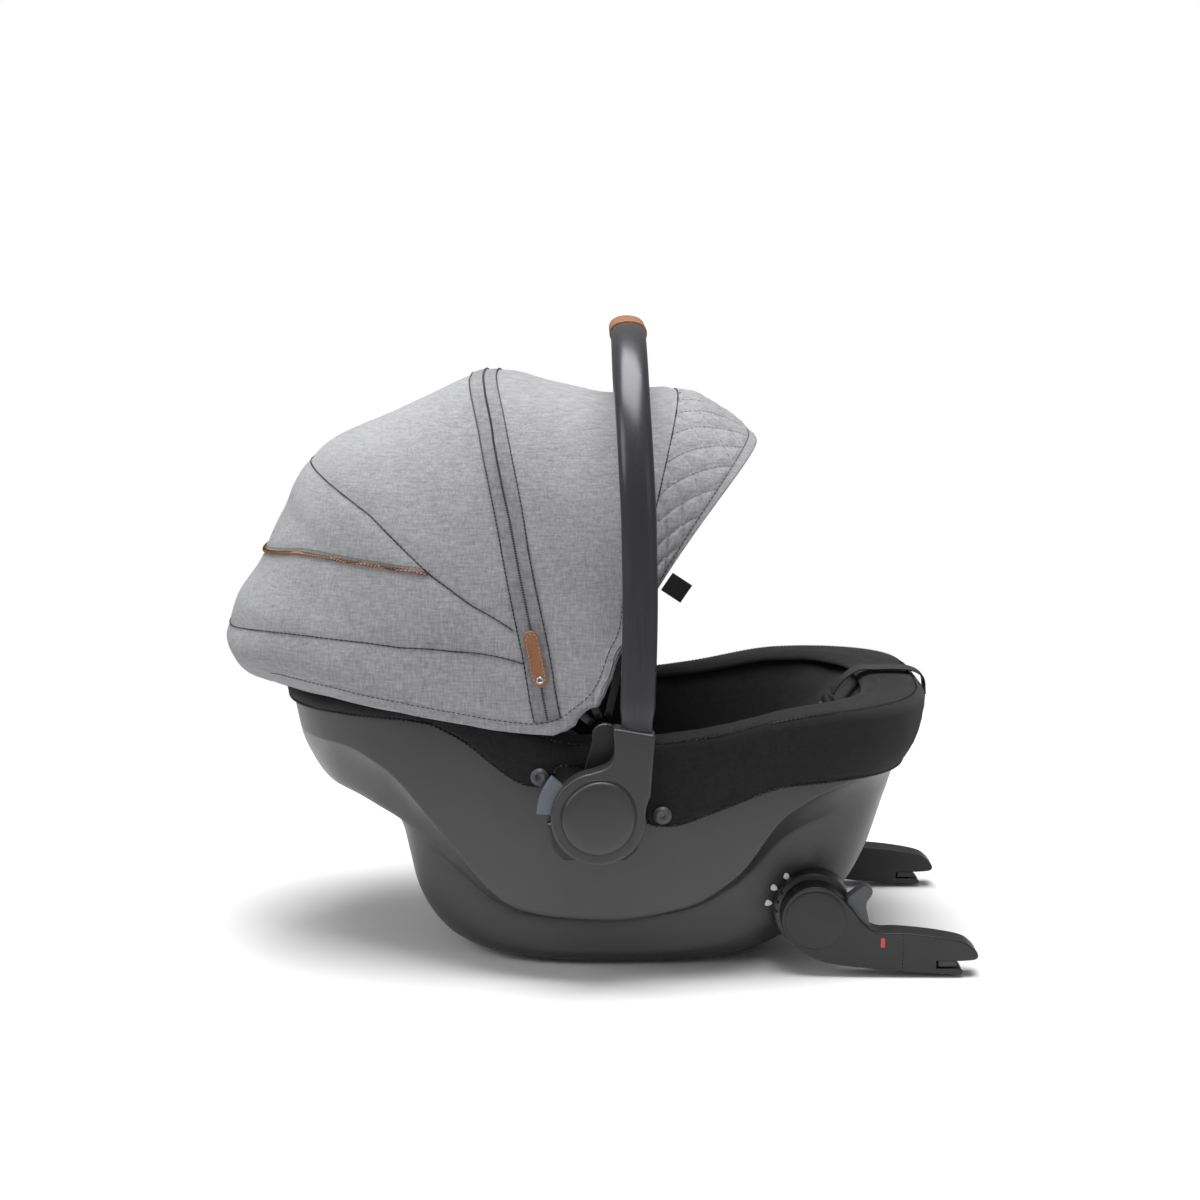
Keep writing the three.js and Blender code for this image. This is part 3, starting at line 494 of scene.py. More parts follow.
# ---------- the bucket's rings, as in the CAD frame ----------
REAR_CORNER, FOOT_CORNER = 2.8, 3.6
SHELL_LEVELS = np.array([
    [-64, 0, 62, 0, 92], [-122, 6, 104, 5, 112], [-168, 12, 141, 16, 119], [-188, 26, 171, 38, 122],
    [-203, 52, 197, 62, 122], [-211, 84, 214, 92, 122], [-219, 114, 224, 120, 122],
    [-236, 140, 230, 139, 123], [-262, 144, 234, 151, 126], [-287, 158, 237, 163, 135],
    [-304, 188, 240, 175, 152], [-309, 207, 242, 181, 172]], float)
SHELL_RIM = (-316, 249, 174)
RIM_LINE = [[-320, 243], [-160, 241], [-95, 222], [-55, 210], [12, 210], [56, 215], [146, 232], [253, 238]]
# picked on the photo and turned into x and z by a scratch script, then adjusted at the foot end
CREASE_LINE = [
    [-320, 208], [-262, 207], [-221, 190], [-178, 145], [-153, 114], [-128, 85], [-104, 69], [-70, 62],
    [-25, 59], [42, 70], [87, 97], [131, 151], [170, 171], [203, 179], [253, 181]]
CAVITY_LEVELS = np.array([
    [-30, 76, 84, 72, 74, 60], [-78, 106, 116, 92, 92, 88], [-140, 151, 154, 128, 128, 106],
    [-200, 195, 186, 170, 163, 124], [-252, 225, 205, 200, 186, 138]], float)
RIM_FLANGE = 27
SKIRT_HEM = [
    [-316, 236], [-190, 236], [-158, 224], [-88, 180], [-76, 183], [-66, 201], [0, 201], [10, 146],
    [30, 145], [62, 155], [138, 178], [253, 182]]


def plan_point(angle):
    c, s = np.cos(angle), np.sin(angle)
    corner = np.where(c < 0, REAR_CORNER, FOOT_CORNER)
    return np.sign(c) * np.abs(c) ** (2 / corner), np.sign(s) * np.abs(s) ** (2 / corner)


def plan_at(rear_x, foot_x, half_width, angle, inset):
    along, across = plan_point(angle)
    x = (rear_x + foot_x) / 2 + ((foot_x - rear_x) / 2 - inset) * along
    return x, (half_width - inset) * across, along


def even_angles(count, rear_x=SHELL_RIM[0], foot_x=SHELL_RIM[1], half_width=SHELL_RIM[2]):
    """Ring angles at equal steps along the rim."""
    angle = np.linspace(0, 2 * math.pi, 6001)
    x, y, _ = plan_at(rear_x, foot_x, half_width, angle, 0)
    steps = np.r_[0, np.cumsum(np.hypot(np.diff(x), np.diff(y)))]
    return np.interp(np.linspace(0, steps[-1], count + 1)[:-1], steps, angle)


def at_level(levels, height):
    """Row between whole levels, on a smooth curve through them."""
    last = len(levels) - 1
    i = min(int(height), last - 1)
    t = height - i
    a, b, c, d = (levels[min(max(k, 0), last)] for k in (i - 1, i, i + 1, i + 2))
    return 0.5 * (2 * b + (c - a) * t + (2 * a - 5 * b + 4 * c - d) * t * t + (3 * b - a - 3 * c + d) * t ** 3)


def shell_ring(height, angle, inset=0.0, lift=0.0):
    rear_x, rear_z, foot_x, foot_z, half_width = at_level(SHELL_LEVELS, height)
    x, y, along = plan_at(rear_x, foot_x, half_width, angle, inset)
    rear = rear_z / smooth_line(CREASE_LINE, rear_x)
    foot = foot_z / smooth_line(CREASE_LINE, foot_x)
    share = rear + (foot - rear) * (1 + along) / 2
    return np.stack([x, y, share * smooth_line(CREASE_LINE, x) + lift], -1)


def rim_ring(angle, inset=0.0, lift=0.0):
    x, y, _ = plan_at(*SHELL_RIM, angle, inset)
    return np.stack([x, y, smooth_line(RIM_LINE, x) + lift], -1)


def side_ring(angle, height, outset):
    height = np.asarray(height)
    height = height[..., None] if height.ndim else height
    crease = shell_ring(len(SHELL_LEVELS) - 1, angle, -outset)
    return crease + (rim_ring(angle, -outset) - crease) * height


def cavity_ring(height, angle, inset=0.0, lift=0.0):
    rear_x, rear_z, foot_x, foot_z, side_z, half_width = at_level(CAVITY_LEVELS, height)
    x, y, along = plan_at(rear_x, foot_x, half_width, angle, inset)
    end = np.where(along < 0, rear_z, foot_z)
    return np.stack([x, y, side_z + (end - side_z) * along * along + lift], -1)


# ---------- shell ----------
HANDLE_AXIS = (-33.5, 162)
ISOFIX_AXIS = (158.3, 52.9)
WALL = 4
TOP = len(SHELL_LEVELS) - 1


def build_shell():
    angle = even_angles(220)
    heights = [0, 0.25, 0.5, *np.arange(1, TOP - 0.2, 0.25), TOP - 0.14, TOP]
    rows = [shell_ring(h, angle) for h in heights]
    rows += [side_ring(angle, h, 0) for h in (0.03, 0.08, 0.25, 0.5, 0.75, 0.94)]
    rows += [rim_ring(angle, 0.6, 0.2), rim_ring(angle, 2, 1), rim_ring(angle, WALL - 0.6, 0.2)]
    rows += [rim_ring(angle, WALL, -2)]
    for h in reversed(heights[::3]):
        rows.append(shell_ring(h, angle, WALL, WALL * (1 if h < 2 or h > 7 else 0.3)))
    stand(skin("shell_skin", rows, SHELL, wrap_columns=True, caps=True), "carrier", "shell_plastic", "shell")
    for tag, side in SIDES:
        x, z = HANDLE_AXIS
        boss = lathe_y(f"shell_boss_{tag}",
                       [(8.5, 196.2), (31, 196.2), (32.5, 195.6), (34, 194), (34, 168), (8.5, 168)],
                       x, z, side, SHELL, 64)
        stand(boss, "carrier", "shell_plastic")
        x, z = ISOFIX_AXIS
        hub = lathe_y(f"isofix_boss_{tag}",
                      [(8.5, 126.2), (33, 126.2), (34.6, 125.2), (35, 123.6), (35, 84), (8.5, 84)],
                      x, z, side, SHELL, 64)
        stand(hub, "carrier", "shell_plastic")
        build_marks(tag, side)


def build_marks(tag, side):
    """Three small painted index marks around the anchor arm's hub."""
    cx, cz = ISOFIX_AXIS
    for i, (x, z) in enumerate([(119, 58), (124, 72), (135, 82)]):
        toward = np.array([cx - x, cz - z])
        toward /= np.linalg.norm(toward)
        across = np.array([-toward[1], toward[0]])
        outline = []
        for k in range(24):
            a = k / 24 * 2 * math.pi
            c, s = math.cos(a), math.sin(a)
            outline.append(np.array([x, z]) + toward * (3.5 * c) + across * (2.7 * s * (1 - 0.35 * c)))
        base = shell_surface_y(x, z)
        mark = plate(f"index_mark_{i}_{tag}", outline, side * (base - 0.5), side * (base + 0.5), MARK, 0.3, 2)
        stand(mark, "carrier", "shell_plastic")


def shell_surface_y(x, z):
    """Half width of the shell's outside at a place on its lower side."""
    angle = np.linspace(0.3, math.pi - 0.3, 400)
    points = np.concatenate([shell_ring(h, angle) for h in np.arange(1, TOP, 0.1)])
    nearest = np.argmin(np.hypot(points[:, 0] - x, points[:, 2] - z))
    return float(points[nearest, 1])


build_shell()


# ---------- cover, pads ----------
def cover_rows(angle):
    along, _ = plan_point(angle)
    rim = rim_ring(angle)
    crease = side_ring(angle, 0, 0)
    hem = smooth_line(SKIRT_HEM, rim[:, 0])
    height = np.clip((hem - crease[:, 2]) / (rim[:, 2] - crease[:, 2]), 0, 0.92)
    bulge = 4 + 12 * np.clip(along, 0, 1) ** 6
    rows = []
    for t in (0, 0.3, 0.6, 0.8):
        rows.append(side_ring(angle, height + (1 - height) * t, 1.0))
    rows += [rim_ring(angle, -1, 0.7), rim_ring(angle, 38, 0.7), rim_ring(angle, 41, 3.5)]
    rows += [rim_ring(angle, 32, 8.5), rim_ring(angle, 16, 9.4)]
    rows += [rim_ring(angle, 2 - bulge * 0.6, 7), rim_ring(angle, -bulge)]
    for t in (0.8, 0.6, 0.3, 0):
        full = min(1, t / 0.45)
        out = 3.2 + (bulge - 3.2) * full ** 2 * (3 - 2 * full)
        rows.append(varied_side(angle, height + (1 - height) * t, out))
    return np.stack(rows, 1)


def varied_side(angle, height, outset):
    """Points on the side panel with an outset of their own at every angle."""
    rear_x, _, foot_x, _, half_width = SHELL_LEVELS[-1]
    x, y, _ = plan_at(rear_x, foot_x, half_width, angle, -outset)
    crease = np.stack([x, y, smooth_line(CREASE_LINE, x)], -1)
    return crease + (rim_ring(angle, -outset) - crease) * np.asarray(height)[..., None]


def looped(ring, count, closed=True):
    """Equal steps along a ring and back to its first point."""
    return resample(np.vstack([ring, ring[:1]]), count, closed)


def build_cover():
    angle = even_angles(260)
    sections = cover_rows(angle)
    fine = np.array([smooth_curve(s, 40, closed=True) for s in sections])
    fine = rubbed(fine, 0.9, 26.0, 3.0)
    fine = rubbed(fine, 0.35, 8.0, 7.0)
    cover = skin("seat_cover_soft", fine, KNIT, wrap_rows=True, wrap_columns=True)
    stand(cover, "carrier", "knit", "seat_cover")
    hem, seam = sections[:, -1], sections[:, 9]
    stand(tube("cover_hem_piping", looped(hem, 400), 1.5, KNIT, 8, closed=True), "carrier", "knit")
    stand(tube("cover_rim_piping", looped(seam, 420), 1.3, SOFT_KNIT, 8, closed=True), "carrier", "knit")
    inner = looped(rim_ring(angle, 24, 8.9), 500, closed=False)
    stand(stitches("cover_rim_stitches", inner, THREAD, 3.4, 1.8, 0.45, 0.4), "carrier", "knit")


build_cover()


def build_pad():
    """Lining of the seat: a tub of padded channels, open at the top."""
    angle = even_angles(180)
    count = 30
    top = len(CAVITY_LEVELS) - 1
    outer = [cavity_ring(h, angle, 2, 2) for h in np.linspace(0, top, 10)]
    outer.append(rim_ring(angle, RIM_FLANGE + 4, -1))
    outer.append(rim_ring(angle, RIM_FLANGE + 10, 0.5))
    inner = []
    for h in np.linspace(top, 0, count):
        ring = cavity_ring(h, angle, 12, 10)
        x = ring[:, 0]
        channel = np.abs(((x + 400) / 34) % 1 - 0.5) * 2
        puff = 2.4 * (1 - channel ** 6) * np.clip(h, 0, 1)
        centre = np.array([-20, 0, 260.0])
        toward = centre - ring
        toward /= np.linalg.norm(toward, axis=1)[:, None]
        inner.append(ring + toward * (puff[:, None] - 1.5))
    rows = outer + inner
    pad = skin("seat_pad_soft", rubbed(np.array(rows), 0.6, 22.0, 11.0), KNIT, wrap_columns=True, caps=True)
    stand(pad, "carrier", "knit", "seat_pad")


build_pad()


def build_insert():
    angle = even_angles(120)
    rows = [cavity_ring(h, angle, 15.5, 13.5) for h in (0, 0.5, 1, 1.5, 2, 2.4)]
    rows += [cavity_ring(2.4, angle, 19, 20)]
    rows += [cavity_ring(h, angle, 27, 22) for h in (2, 1.5, 1, 0.5, 0)]
    insert = skin("infant_insert_soft", rows, SOFT_KNIT, wrap_columns=True, caps=True)
    inflate(insert, cap=3.0)
    stand(insert, "carrier", "soft_knit", "infant_insert")
    edge = looped(cavity_ring(2.42, angle, 16.5, 19.5), 260)
    stand(tube("insert_piping", edge, 1.6, KNIT, 8, closed=True), "carrier", "soft_knit")
    for i, h in enumerate((1.0, 1.75)):
        ring = looped(cavity_ring(h, angle, 29.5, 24.5), 200)
        stand(tube(f"insert_seam_{i}", ring, 1.0, THREAD, 6, closed=True), "carrier", "soft_knit")


build_insert()


def build_headrest():
    sections = []
    for step in range(33):
        a = np.radians(119 + step * (122 / 32))
        low, high = cavity_ring(3.18, a, 16, 14.5), cavity_ring(4, a, 16, 14.5)
        low_in, high_in = cavity_ring(3.18, a, 33, 25), cavity_ring(4, a, 33, 28)
        up = np.array([-0.5, 0, 1]) * 23
        section = [low, high, high + up, high_in + up * 0.9 + (high - high_in) * 0.3, high_in, low_in]
        sections.append(smooth_curve(np.array(section), 24, closed=True))
    head = skin("headrest_soft", sections, SOFT_KNIT, wrap_columns=True, caps=True)
    inflate(head, cap=4.0)
    stand(head, "head_support", "soft_knit", "headrest")


build_headrest()


# ---------- harness ----------
def strap(name, points, width, thickness, body, *nodes, material=WEBBING, slot="webbing", steps=60):
    line = smooth_curve(np.array(points, float), steps)
    tangent = np.gradient(line, axis=0)
    normal = np.cross(np.array([0, 1.0, 0]), tangent)
    normal /= np.linalg.norm(normal, axis=1)[:, None]
    piece = tube(name, line, 0, material, 20, flat=(width / 2, thickness / 2), normal=normal)
    return stand(piece, body, slot, *nodes)


SHOULDER_PATH = [[-160, -40, 208], [-130, -39, 205], [-98, -37, 193], [-55, -31, 172], [-9, -14.2, 150]]
SHOULDER_PAD_PATH = [[-124, -38.7, 203.2], [-98, -37, 193], [-74, -34.2, 181.6], [-48, -28.8, 168.7]]


def mirrored(points, side):
    return [[x, -y * side, z] for x, y, z in points]


def build_harness():
    for tag, side in SIDES:
        strap(f"shoulder_webbing_{tag}", mirrored(SHOULDER_PATH, side), 26, 1.8, "carrier",
              f"shoulder_strap_{tag}")
        pad = strap(f"shoulder_pad_soft_{tag}", mirrored(SHOULDER_PAD_PATH, side), 42, 10, "carrier",
                    f"shoulder_pad_{tag}", material=SOFT_KNIT, slot="soft_knit", steps=30)
    strap("crotch_webbing", [[69, 0, 108.5], [62, 0, 111.5], [54, 0, 115.6]], 26, 2, "carrier", "crotch_strap",
          steps=12)
    strap("adjuster_webbing",
          [[185, 0, 226], [194, 0, 239], [208, 0, 249.2], [226, 0, 250.4], [244, 0, 250.6], [259, 0, 249],
           [269, 0, 242], [271, 0, 227]], 22, 2, "carrier", "adjuster_strap", steps=70)


build_harness()


# ---------- snaps ----------
def build_snaps():
    for tag, side in SIDES:
        for place, x, z, base in (("rear", -84, 189, 178.4), ("front", 22, 155, 178)):
            profile = [(0.01, base + 1.9), (2.6, base + 2.0), (3.4, base + 3.0), (4.8, base + 3.2),
                       (6.2, base + 2.4), (6.5, base + 1.5), (7.7, base + 1.2), (8.0, base + 0.2),
                       (7.8, base - 0.6), (0.01, base - 0.6)]
            snap = lathe_y(f"snap_{place}_{tag}", profile, x, z, side, GREY, 36)
            stand(snap, "carrier", "grey_plastic", f"cover_snap_{place}_{tag}")


build_snaps()


# ---------- handle ----------
HANDLE_SIDE_Y, HANDLE_TOP_Z, HANDLE_BEND = 208, 563, 140
GRIP_X, GRIP_HALF = -7, 64


def handle_line():
    lean = [[-2.5, 207], [-1.8, 222], [-0.9, 239], [-0.4, 252], [1, 300], [1.6, 349], [0.6, 400]]
    half = [[x, -HANDLE_SIDE_Y, z] for x, z in lean]
    cy, cz = HANDLE_BEND - HANDLE_SIDE_Y, HANDLE_TOP_Z - HANDLE_BEND
    for i in range(10):
        a = math.radians(i * 10)
        z = cz + HANDLE_BEND * math.sin(a)
        x = float(np.interp(z, [cz, 470, 515, HANDLE_TOP_Z], [0, -2.4, -5, GRIP_X]))
        half.append([x, cy - HANDLE_BEND * math.cos(a), z])
    other = [[x, -y, z] for x, y, z in reversed(half)]
    return smooth_curve(np.array([*half, [GRIP_X, 0, HANDLE_TOP_Z], *other]), 240)


def tube_rows(line, extra, segments=40, corner=2.3):
    tangent = np.gradient(line, axis=0)
    tangent /= np.linalg.norm(tangent, axis=1)[:, None]
    rows = []
    for centre, t in zip(line, tangent):
        across = np.array([1.0, 0, 0]) - t * t[0]
        across /= np.linalg.norm(across)
        outward = np.cross(across, t)
        z = centre[2]
        width = np.clip(13.4 + (z - 245) * 0.15, 13.4, 14.9) + extra
        depth = np.interp(z, [245, 262, 420, 564], [7.6, 8.6, 9.5, 9.7]) + extra
        row = []
        for k in range(segments):
            a = (k + 0.5) / segments * 2 * math.pi
            c, s = math.cos(a), math.sin(a)
            row.append(centre + across * width * math.copysign(abs(c) ** (2 / corner), c)
                       + outward * depth * math.copysign(abs(s) ** (2 / corner), s))
        rows.append(row)
    return np.array(rows)


def build_handle():
    line = handle_line()
    stand(skin("handle_bar", tube_rows(line, 0), HANDLE, wrap_columns=True, caps=True), "handle",
          "handle_metal", "handle_tube")
    grip = np.array([[GRIP_X, y, HANDLE_TOP_Z] for y in np.linspace(-GRIP_HALF, GRIP_HALF, 90)], float)
    rows = tube_rows(grip, 1.7)
    ends = [tube_rows(grip, 0.4)[0], tube_rows(grip, 1.3)[0]]
    far = [tube_rows(grip, 1.3)[-1], tube_rows(grip, 0.4)[-1]]
    rows = np.concatenate([ends, rubbed(rows, 0.15, 14.0, 5.0), far])
    stand(skin("handle_leather", rows, LEATHER, wrap_columns=True, caps=True, weld=0.005), "handle",
          "leather", "handle_grip")
    under = tube_rows(grip, 1.7)
    seam = under[:, 30]
    stand(tube("grip_seam", seam, 0.7, THREAD, 6), "handle", "leather")
    for i, column in enumerate((28, 32)):
        stand(stitches(f"grip_stitches_{i}", under[:, column], STITCH, 3.4, 2.0, 0.4, 0.3), "handle", "leather")


build_handle()


def hub_outline():
    cx, cz = HANDLE_AXIS
    neck = [(14.6, 235), (-21, 241), (-19.8, 222)]
    left = smooth_curve(np.array([(-19.8, 222), (-21.4, 213), (-27, 206.5), (cx - 6, cz + 39.9)]), 12)
    ring = arc(cx, cz, 40.3, 100, 365, 72)
    right = smooth_curve(np.array([ring[-1], (7.6, 173), (10.6, 182)]), 6)
    return neck[:2] + [tuple(p) for p in left] + ring[1:] + [tuple(p) for p in right[1:]]


def egg(extra, count=96):
    cx, cz = HANDLE_AXIS
    points = []
    for i in range(count):
        a = i / count * 2 * math.pi
        peak = 3 * max(0, math.cos(a - math.radians(62))) ** 3
        points.append((cx + (31 + extra + peak) * math.cos(a), cz + (31 + extra + peak) * math.sin(a)))
    return points


def raised_disc(name, levels, side, material):
    """Low dome over the egg outline: levels are [extra radius, |y|] from the outside inwards."""
    rows = [[(x, side * y, z) for x, z in egg(extra)] for extra, y in levels]
    return skin(name, rows, material, wrap_columns=True, caps=True)


HUB_DISC_PROFILE = [(-30.4, 222.9), (-20, 222.8), (-8, 222.3), (-2.6, 221.6), (-0.9, 220.8),
                    (-0.2, 219.6), (-0.2, 218.6)]


def build_hubs():
    cx, cz = HANDLE_AXIS
    for tag, side in SIDES:
        hub = plate(f"hub_{tag}", hub_outline(), side * 197.3, side * 219, DARK, 2.6, 4, 35)
        stand(hub, "handle", "shell_plastic", f"handle_hub_{tag}")
        # Painted shade: a black ring stands in for the shade inside the groove round the hub's disc.
        painted_groove_shade = raised_disc(f"hub_groove_painted_shade_{tag}", [(1.6, 218.4), (1.6, 219.25), (0.6, 219.3)], side, BLACK)
        stand(painted_groove_shade, "handle", "black_plastic")
        cap = raised_disc(f"hub_disc_{tag}", HUB_DISC_PROFILE, side, DARK)
        stand(cap, "handle", "shell_plastic", f"hub_cap_{tag}")
        outline = arc(cx, cz, 52.5, 139, 177, 30) + arc(cx, cz, 34, 177, 139, 22)
        button = plate(f"release_button_{tag}", outline, side * 199.3, side * 212.4, BUTTON, 1.6, 3, 40)
        stand(button, f"handle_release_{tag}", "button_plastic", f"handle_button_{tag}")


build_hubs()


# ---------- canopy ----------
CANOPY_AXIS = np.array([-28.0, 228.0])
FRONT_BOW, MID_BOW, REAR_BOW, REAR_END, VISOR_TIP = 11.7, -21.0, -50.3, -87.5, 29.9
CANOPY_HALF, CANOPY_CORNER = 183.4, 2.8
# distance from the canopy's axis to the cloth along the middle, by angle from upright; several points come
# from the photo's outline by a scratch script
CROWN = [
    [-87.5, 311], [-84.5, 334], [-80, 351.5], [-74.4, 349], [-67.2, 338.5], [-58.9, 338.8], [-54.8, 343.5],
    [-50.3, 345.8], [-36, 322.5], [-28.4, 317.2], [-23.5, 316.6], [-19, 313.2], [-8.2, 288], [1.5, 275],
    [11.7, 286], [16.2, 286.4], [22, 281.7], [29.9, 275.6]]


def crown(angle):
    return smooth_line(CROWN, angle)


def cloth_angle(nominal, radius):
    """Angle of a point of the cloth: the rear hem, the rounded front corner and the visor's edge bend it."""
    radius = np.asarray(radius, float)
    # both hems were worked out from the photo in the same way as the seams
    rear = np.interp(radius, [40, 51, 116, 177, 239, 295, 330], [-92, -90.9, -86.4, -84.5, -83.8, -84.4, -87])
    front = np.interp(radius, [26, 34, 48, 74, 84], [-19.9, -7.9, 1.5, 7.3, FRONT_BOW])
    hem = np.degrees(5 / radius)
    reach = np.maximum(hem, (VISOR_TIP - FRONT_BOW) * np.clip((radius - 80) / 196, 0, 1) ** 0.6)
    if nominal < REAR_BOW:
        return REAR_BOW + (rear - REAR_BOW) * (nominal - REAR_BOW) / (REAR_END - REAR_BOW)
    if nominal < MID_BOW:
        return np.full_like(radius, nominal)
    if nominal <= FRONT_BOW:
        return MID_BOW + (front - MID_BOW) * (nominal - MID_BOW) / (FRONT_BOW - MID_BOW)
    return front + reach * (nominal - FRONT_BOW) / (VISOR_TIP - FRONT_BOW)


def on_canopy(angle, radius, y):
    a = np.radians(angle)
    return np.stack([CANOPY_AXIS[0] + radius * np.sin(a), np.broadcast_to(y, np.shape(radius)),
                     CANOPY_AXIS[1] + radius * np.cos(a)], -1)


def arch(peak, half_width, start, count):
    """y and radius along an arch from one foot to the other, at equal steps."""
    first = math.asin(min(1, (start / peak) ** (CANOPY_CORNER / 2)))
    a = np.linspace(first, math.pi - first, 900)
    c, s = np.cos(a), np.sin(a)
    y = -np.sign(c) * np.abs(c) ** (2 / CANOPY_CORNER) * half_width
    radius = np.abs(s) ** (2 / CANOPY_CORNER) * peak
    line = resample(np.stack([y, radius], 1), count)
    return line[:, 0], line[:, 1]


def foot_radius(nominal):
    return float(np.interp(nominal, [-87.5, -80, -70, 11.7], [44, 32, 26, 26]))


# seam lines as [angle, radius] from the side upwards, worked out by a scratch script from points picked on
# the photo; each goes on over the middle
SEAM_REAR_BOW = [[-40.9, 117], [-46, 159], [-47.8, 202], [-47.8, 273], [-50.3, 346]]
SEAM_PIPING = [[-47.8, 202], [-52.8, 231], [-56.9, 262], [-61.2, 304], [-65.8, 338]]
SEAM_LOWER = [[-48.5, 91], [-61.2, 146], [-67.6, 190], [-71.4, 241], [-75.6, 313], [-78, 350]]
SEAM_ZIP = [
    [-79, 49], [-60.5, 60], [-40.4, 90], [-32.4, 122], [-27.4, 158], [-23.9, 199], [-21.9, 240],
    [-20.6, 281], [-20.3, 314]]


def over_the_top(line, lift, count=160, start=None):
    """Points on both sides and over the middle along a seam given as [angle, radius]."""
    angles, radii = np.array(line, float).T
    top = float(crown(angles[-1]))
    y, radius = arch(top, CANOPY_HALF + lift, radii[0] if start is None else start, count)
    angle = np.interp(radius, radii, angles)
    peak = crown(angle)
    inside = np.clip(radius / peak, 0, 1)
    width = (CANOPY_HALF + lift) * (1 - inside ** CANOPY_CORNER) ** (1 / CANOPY_CORNER)
    width = np.where(np.abs(y) < 60, np.abs(y), width)
    return on_canopy(angle, radius + lift * (radius / top) ** 2, np.sign(y) * width)


def seam_distance(x, z, seams):
    """Distance in the side view from points to the nearest seam."""
    best = np.full(x.shape, 1e9)
    for line in seams:
        a = np.radians(np.array(line, float)[:, 0])
        r = np.array(line, float)[:, 1]
        px = CANOPY_AXIS[0] + r * np.sin(a)
        pz = CANOPY_AXIS[1] + r * np.cos(a)
        for i in range(len(px) - 1):
            dx, dz = px[i + 1] - px[i], pz[i + 1] - pz[i]
            t = np.clip(((x - px[i]) * dx + (z - pz[i]) * dz) / (dx * dx + dz * dz), 0, 1)
            best = np.minimum(best, np.hypot(x - px[i] - t * dx, z - pz[i] - t * dz))
    return best


QUILT_FROM, QUILT_TO = FRONT_BOW + 1.4, VISOR_TIP - 2.2
QUILT_DEPTH, QUILT_STEP, QUILT_SPAN = 72.0, 36.0, 432.0


def quilting(nominal, columns):
    """Height of the visor's padding between the crossing lines of its quilting."""
    share = (nominal - QUILT_FROM) / (QUILT_TO - QUILT_FROM)
    if not 0 <= share <= 1:
        return np.zeros(columns)
    across = np.linspace(-1, 1, columns) * QUILT_SPAN
    gaps = [np.abs(((across + way * share * QUILT_DEPTH) / QUILT_STEP + 0.5) % 1 - 0.5)
            for way in (-1, 1)]
    distance = np.minimum(*gaps) * QUILT_STEP
    ends = min(share, 1 - share) * QUILT_DEPTH
    return 3.2 * (1 - np.exp(-distance / 4.5)) * (1 - math.exp(-ends / 3.0))


def quilt_line(phase):
    """One zigzag of the quilting on the canopy's outer surface."""
    across = np.linspace(-0.93, 0.93, 700) * QUILT_SPAN
    share = np.abs(((across + phase) / (2 * QUILT_DEPTH)) % 1 * 2 - 1)
    nominal = QUILT_FROM + share * (QUILT_TO - QUILT_FROM)
    row = np.interp(nominal, canopy_rows, np.arange(len(canopy_rows)))
    column = (across / QUILT_SPAN + 1) / 2 * (canopy_grid.shape[1] - 1)
    i, j = row.astype(int).clip(0, canopy_grid.shape[0] - 2), column.astype(int)
    u, v = (row - i)[:, None], (column - j)[:, None]
    near = canopy_grid[i, j] * (1 - v) + canopy_grid[i, j + 1] * v
    far = canopy_grid[i + 1, j] * (1 - v) + canopy_grid[i + 1, j + 1] * v
    return near * (1 - u) + far * u


PILLOW = 1.8  # height of the cloth between its seams
BOW_RIDGE = 1.3  # height of the cloth over a bow
SEAM_REACH = 7.0  # distance over which it falls to a seam
CLOTH_THICKNESS = 1.4


def fold_height(p):
    """Broad and fine unevenness of the cloth at a place."""
    return noise.noise(Vector(p / 60.0)) * 1.6 + noise.noise(Vector(p / 22.0) + Vector((9, 9, 9))) * 0.5


def build_canopy():
    columns = 190
    nominals = np.concatenate([
        np.linspace(REAR_END, REAR_BOW, 60, endpoint=False), np.linspace(REAR_BOW, MID_BOW, 44, endpoint=False),
        np.linspace(MID_BOW, FRONT_BOW, 48, endpoint=False), np.linspace(FRONT_BOW, VISOR_TIP, 36)])
    rows, quilt = [], []
    for nominal in nominals:
        peak = float(crown(nominal))
        y, radius = arch(peak, CANOPY_HALF, foot_radius(nominal), columns)
        angle = cloth_angle(nominal, radius)
        rows.append(on_canopy(angle, radius, y))
        quilt.append(quilting(nominal, columns))
    grid = np.array(rows)
    normal = np.cross(np.gradient(grid, axis=1), np.gradient(grid, axis=0))
    normal /= np.linalg.norm(normal, axis=2)[:, :, None] + 1e-9
    outward = grid - np.array([CANOPY_AXIS[0], 0, CANOPY_AXIS[1]])
    normal *= np.sign((normal * outward).sum(2, keepdims=True))
    distance = seam_distance(grid[:, :, 0], grid[:, :, 2], [SEAM_REAR_BOW, SEAM_PIPING, SEAM_LOWER])
    pillow = PILLOW * (1 - np.exp(-distance / SEAM_REACH))
    ridge = np.zeros(grid.shape[:2])
    from_axis = np.hypot(grid[:, :, 0] - CANOPY_AXIS[0], grid[:, :, 2] - CANOPY_AXIS[1])
    for bow in (MID_BOW, FRONT_BOW):
        gap = from_axis * np.radians(nominals - bow)[:, None]
        ridge += BOW_RIDGE * np.exp(-(gap / SEAM_REACH) ** 2)
    grid = grid + normal * (pillow + ridge + np.array(quilt))[:, :, None]
    folds = np.array([fold_height(p) for p in grid.reshape(-1, 3)]).reshape(grid.shape[:2])
    grid = grid + normal * folds[:, :, None]
    sheet = skin("canopy_cloth", grid, CANOPY, weld=0.15)
    thick = sheet.modifiers.new("thickness", "SOLIDIFY")
    thick.thickness = CLOTH_THICKNESS * MM
    thick.offset = -1 if face_outward(sheet) else 1
    thick.use_even_offset = False
    apply_modifiers(sheet)
    sheet.data.shade_smooth()
    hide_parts("canopy_rear", "canopy_mid", "canopy_front", "canopy_visor")
    fold(sheet)
    return grid, nominals


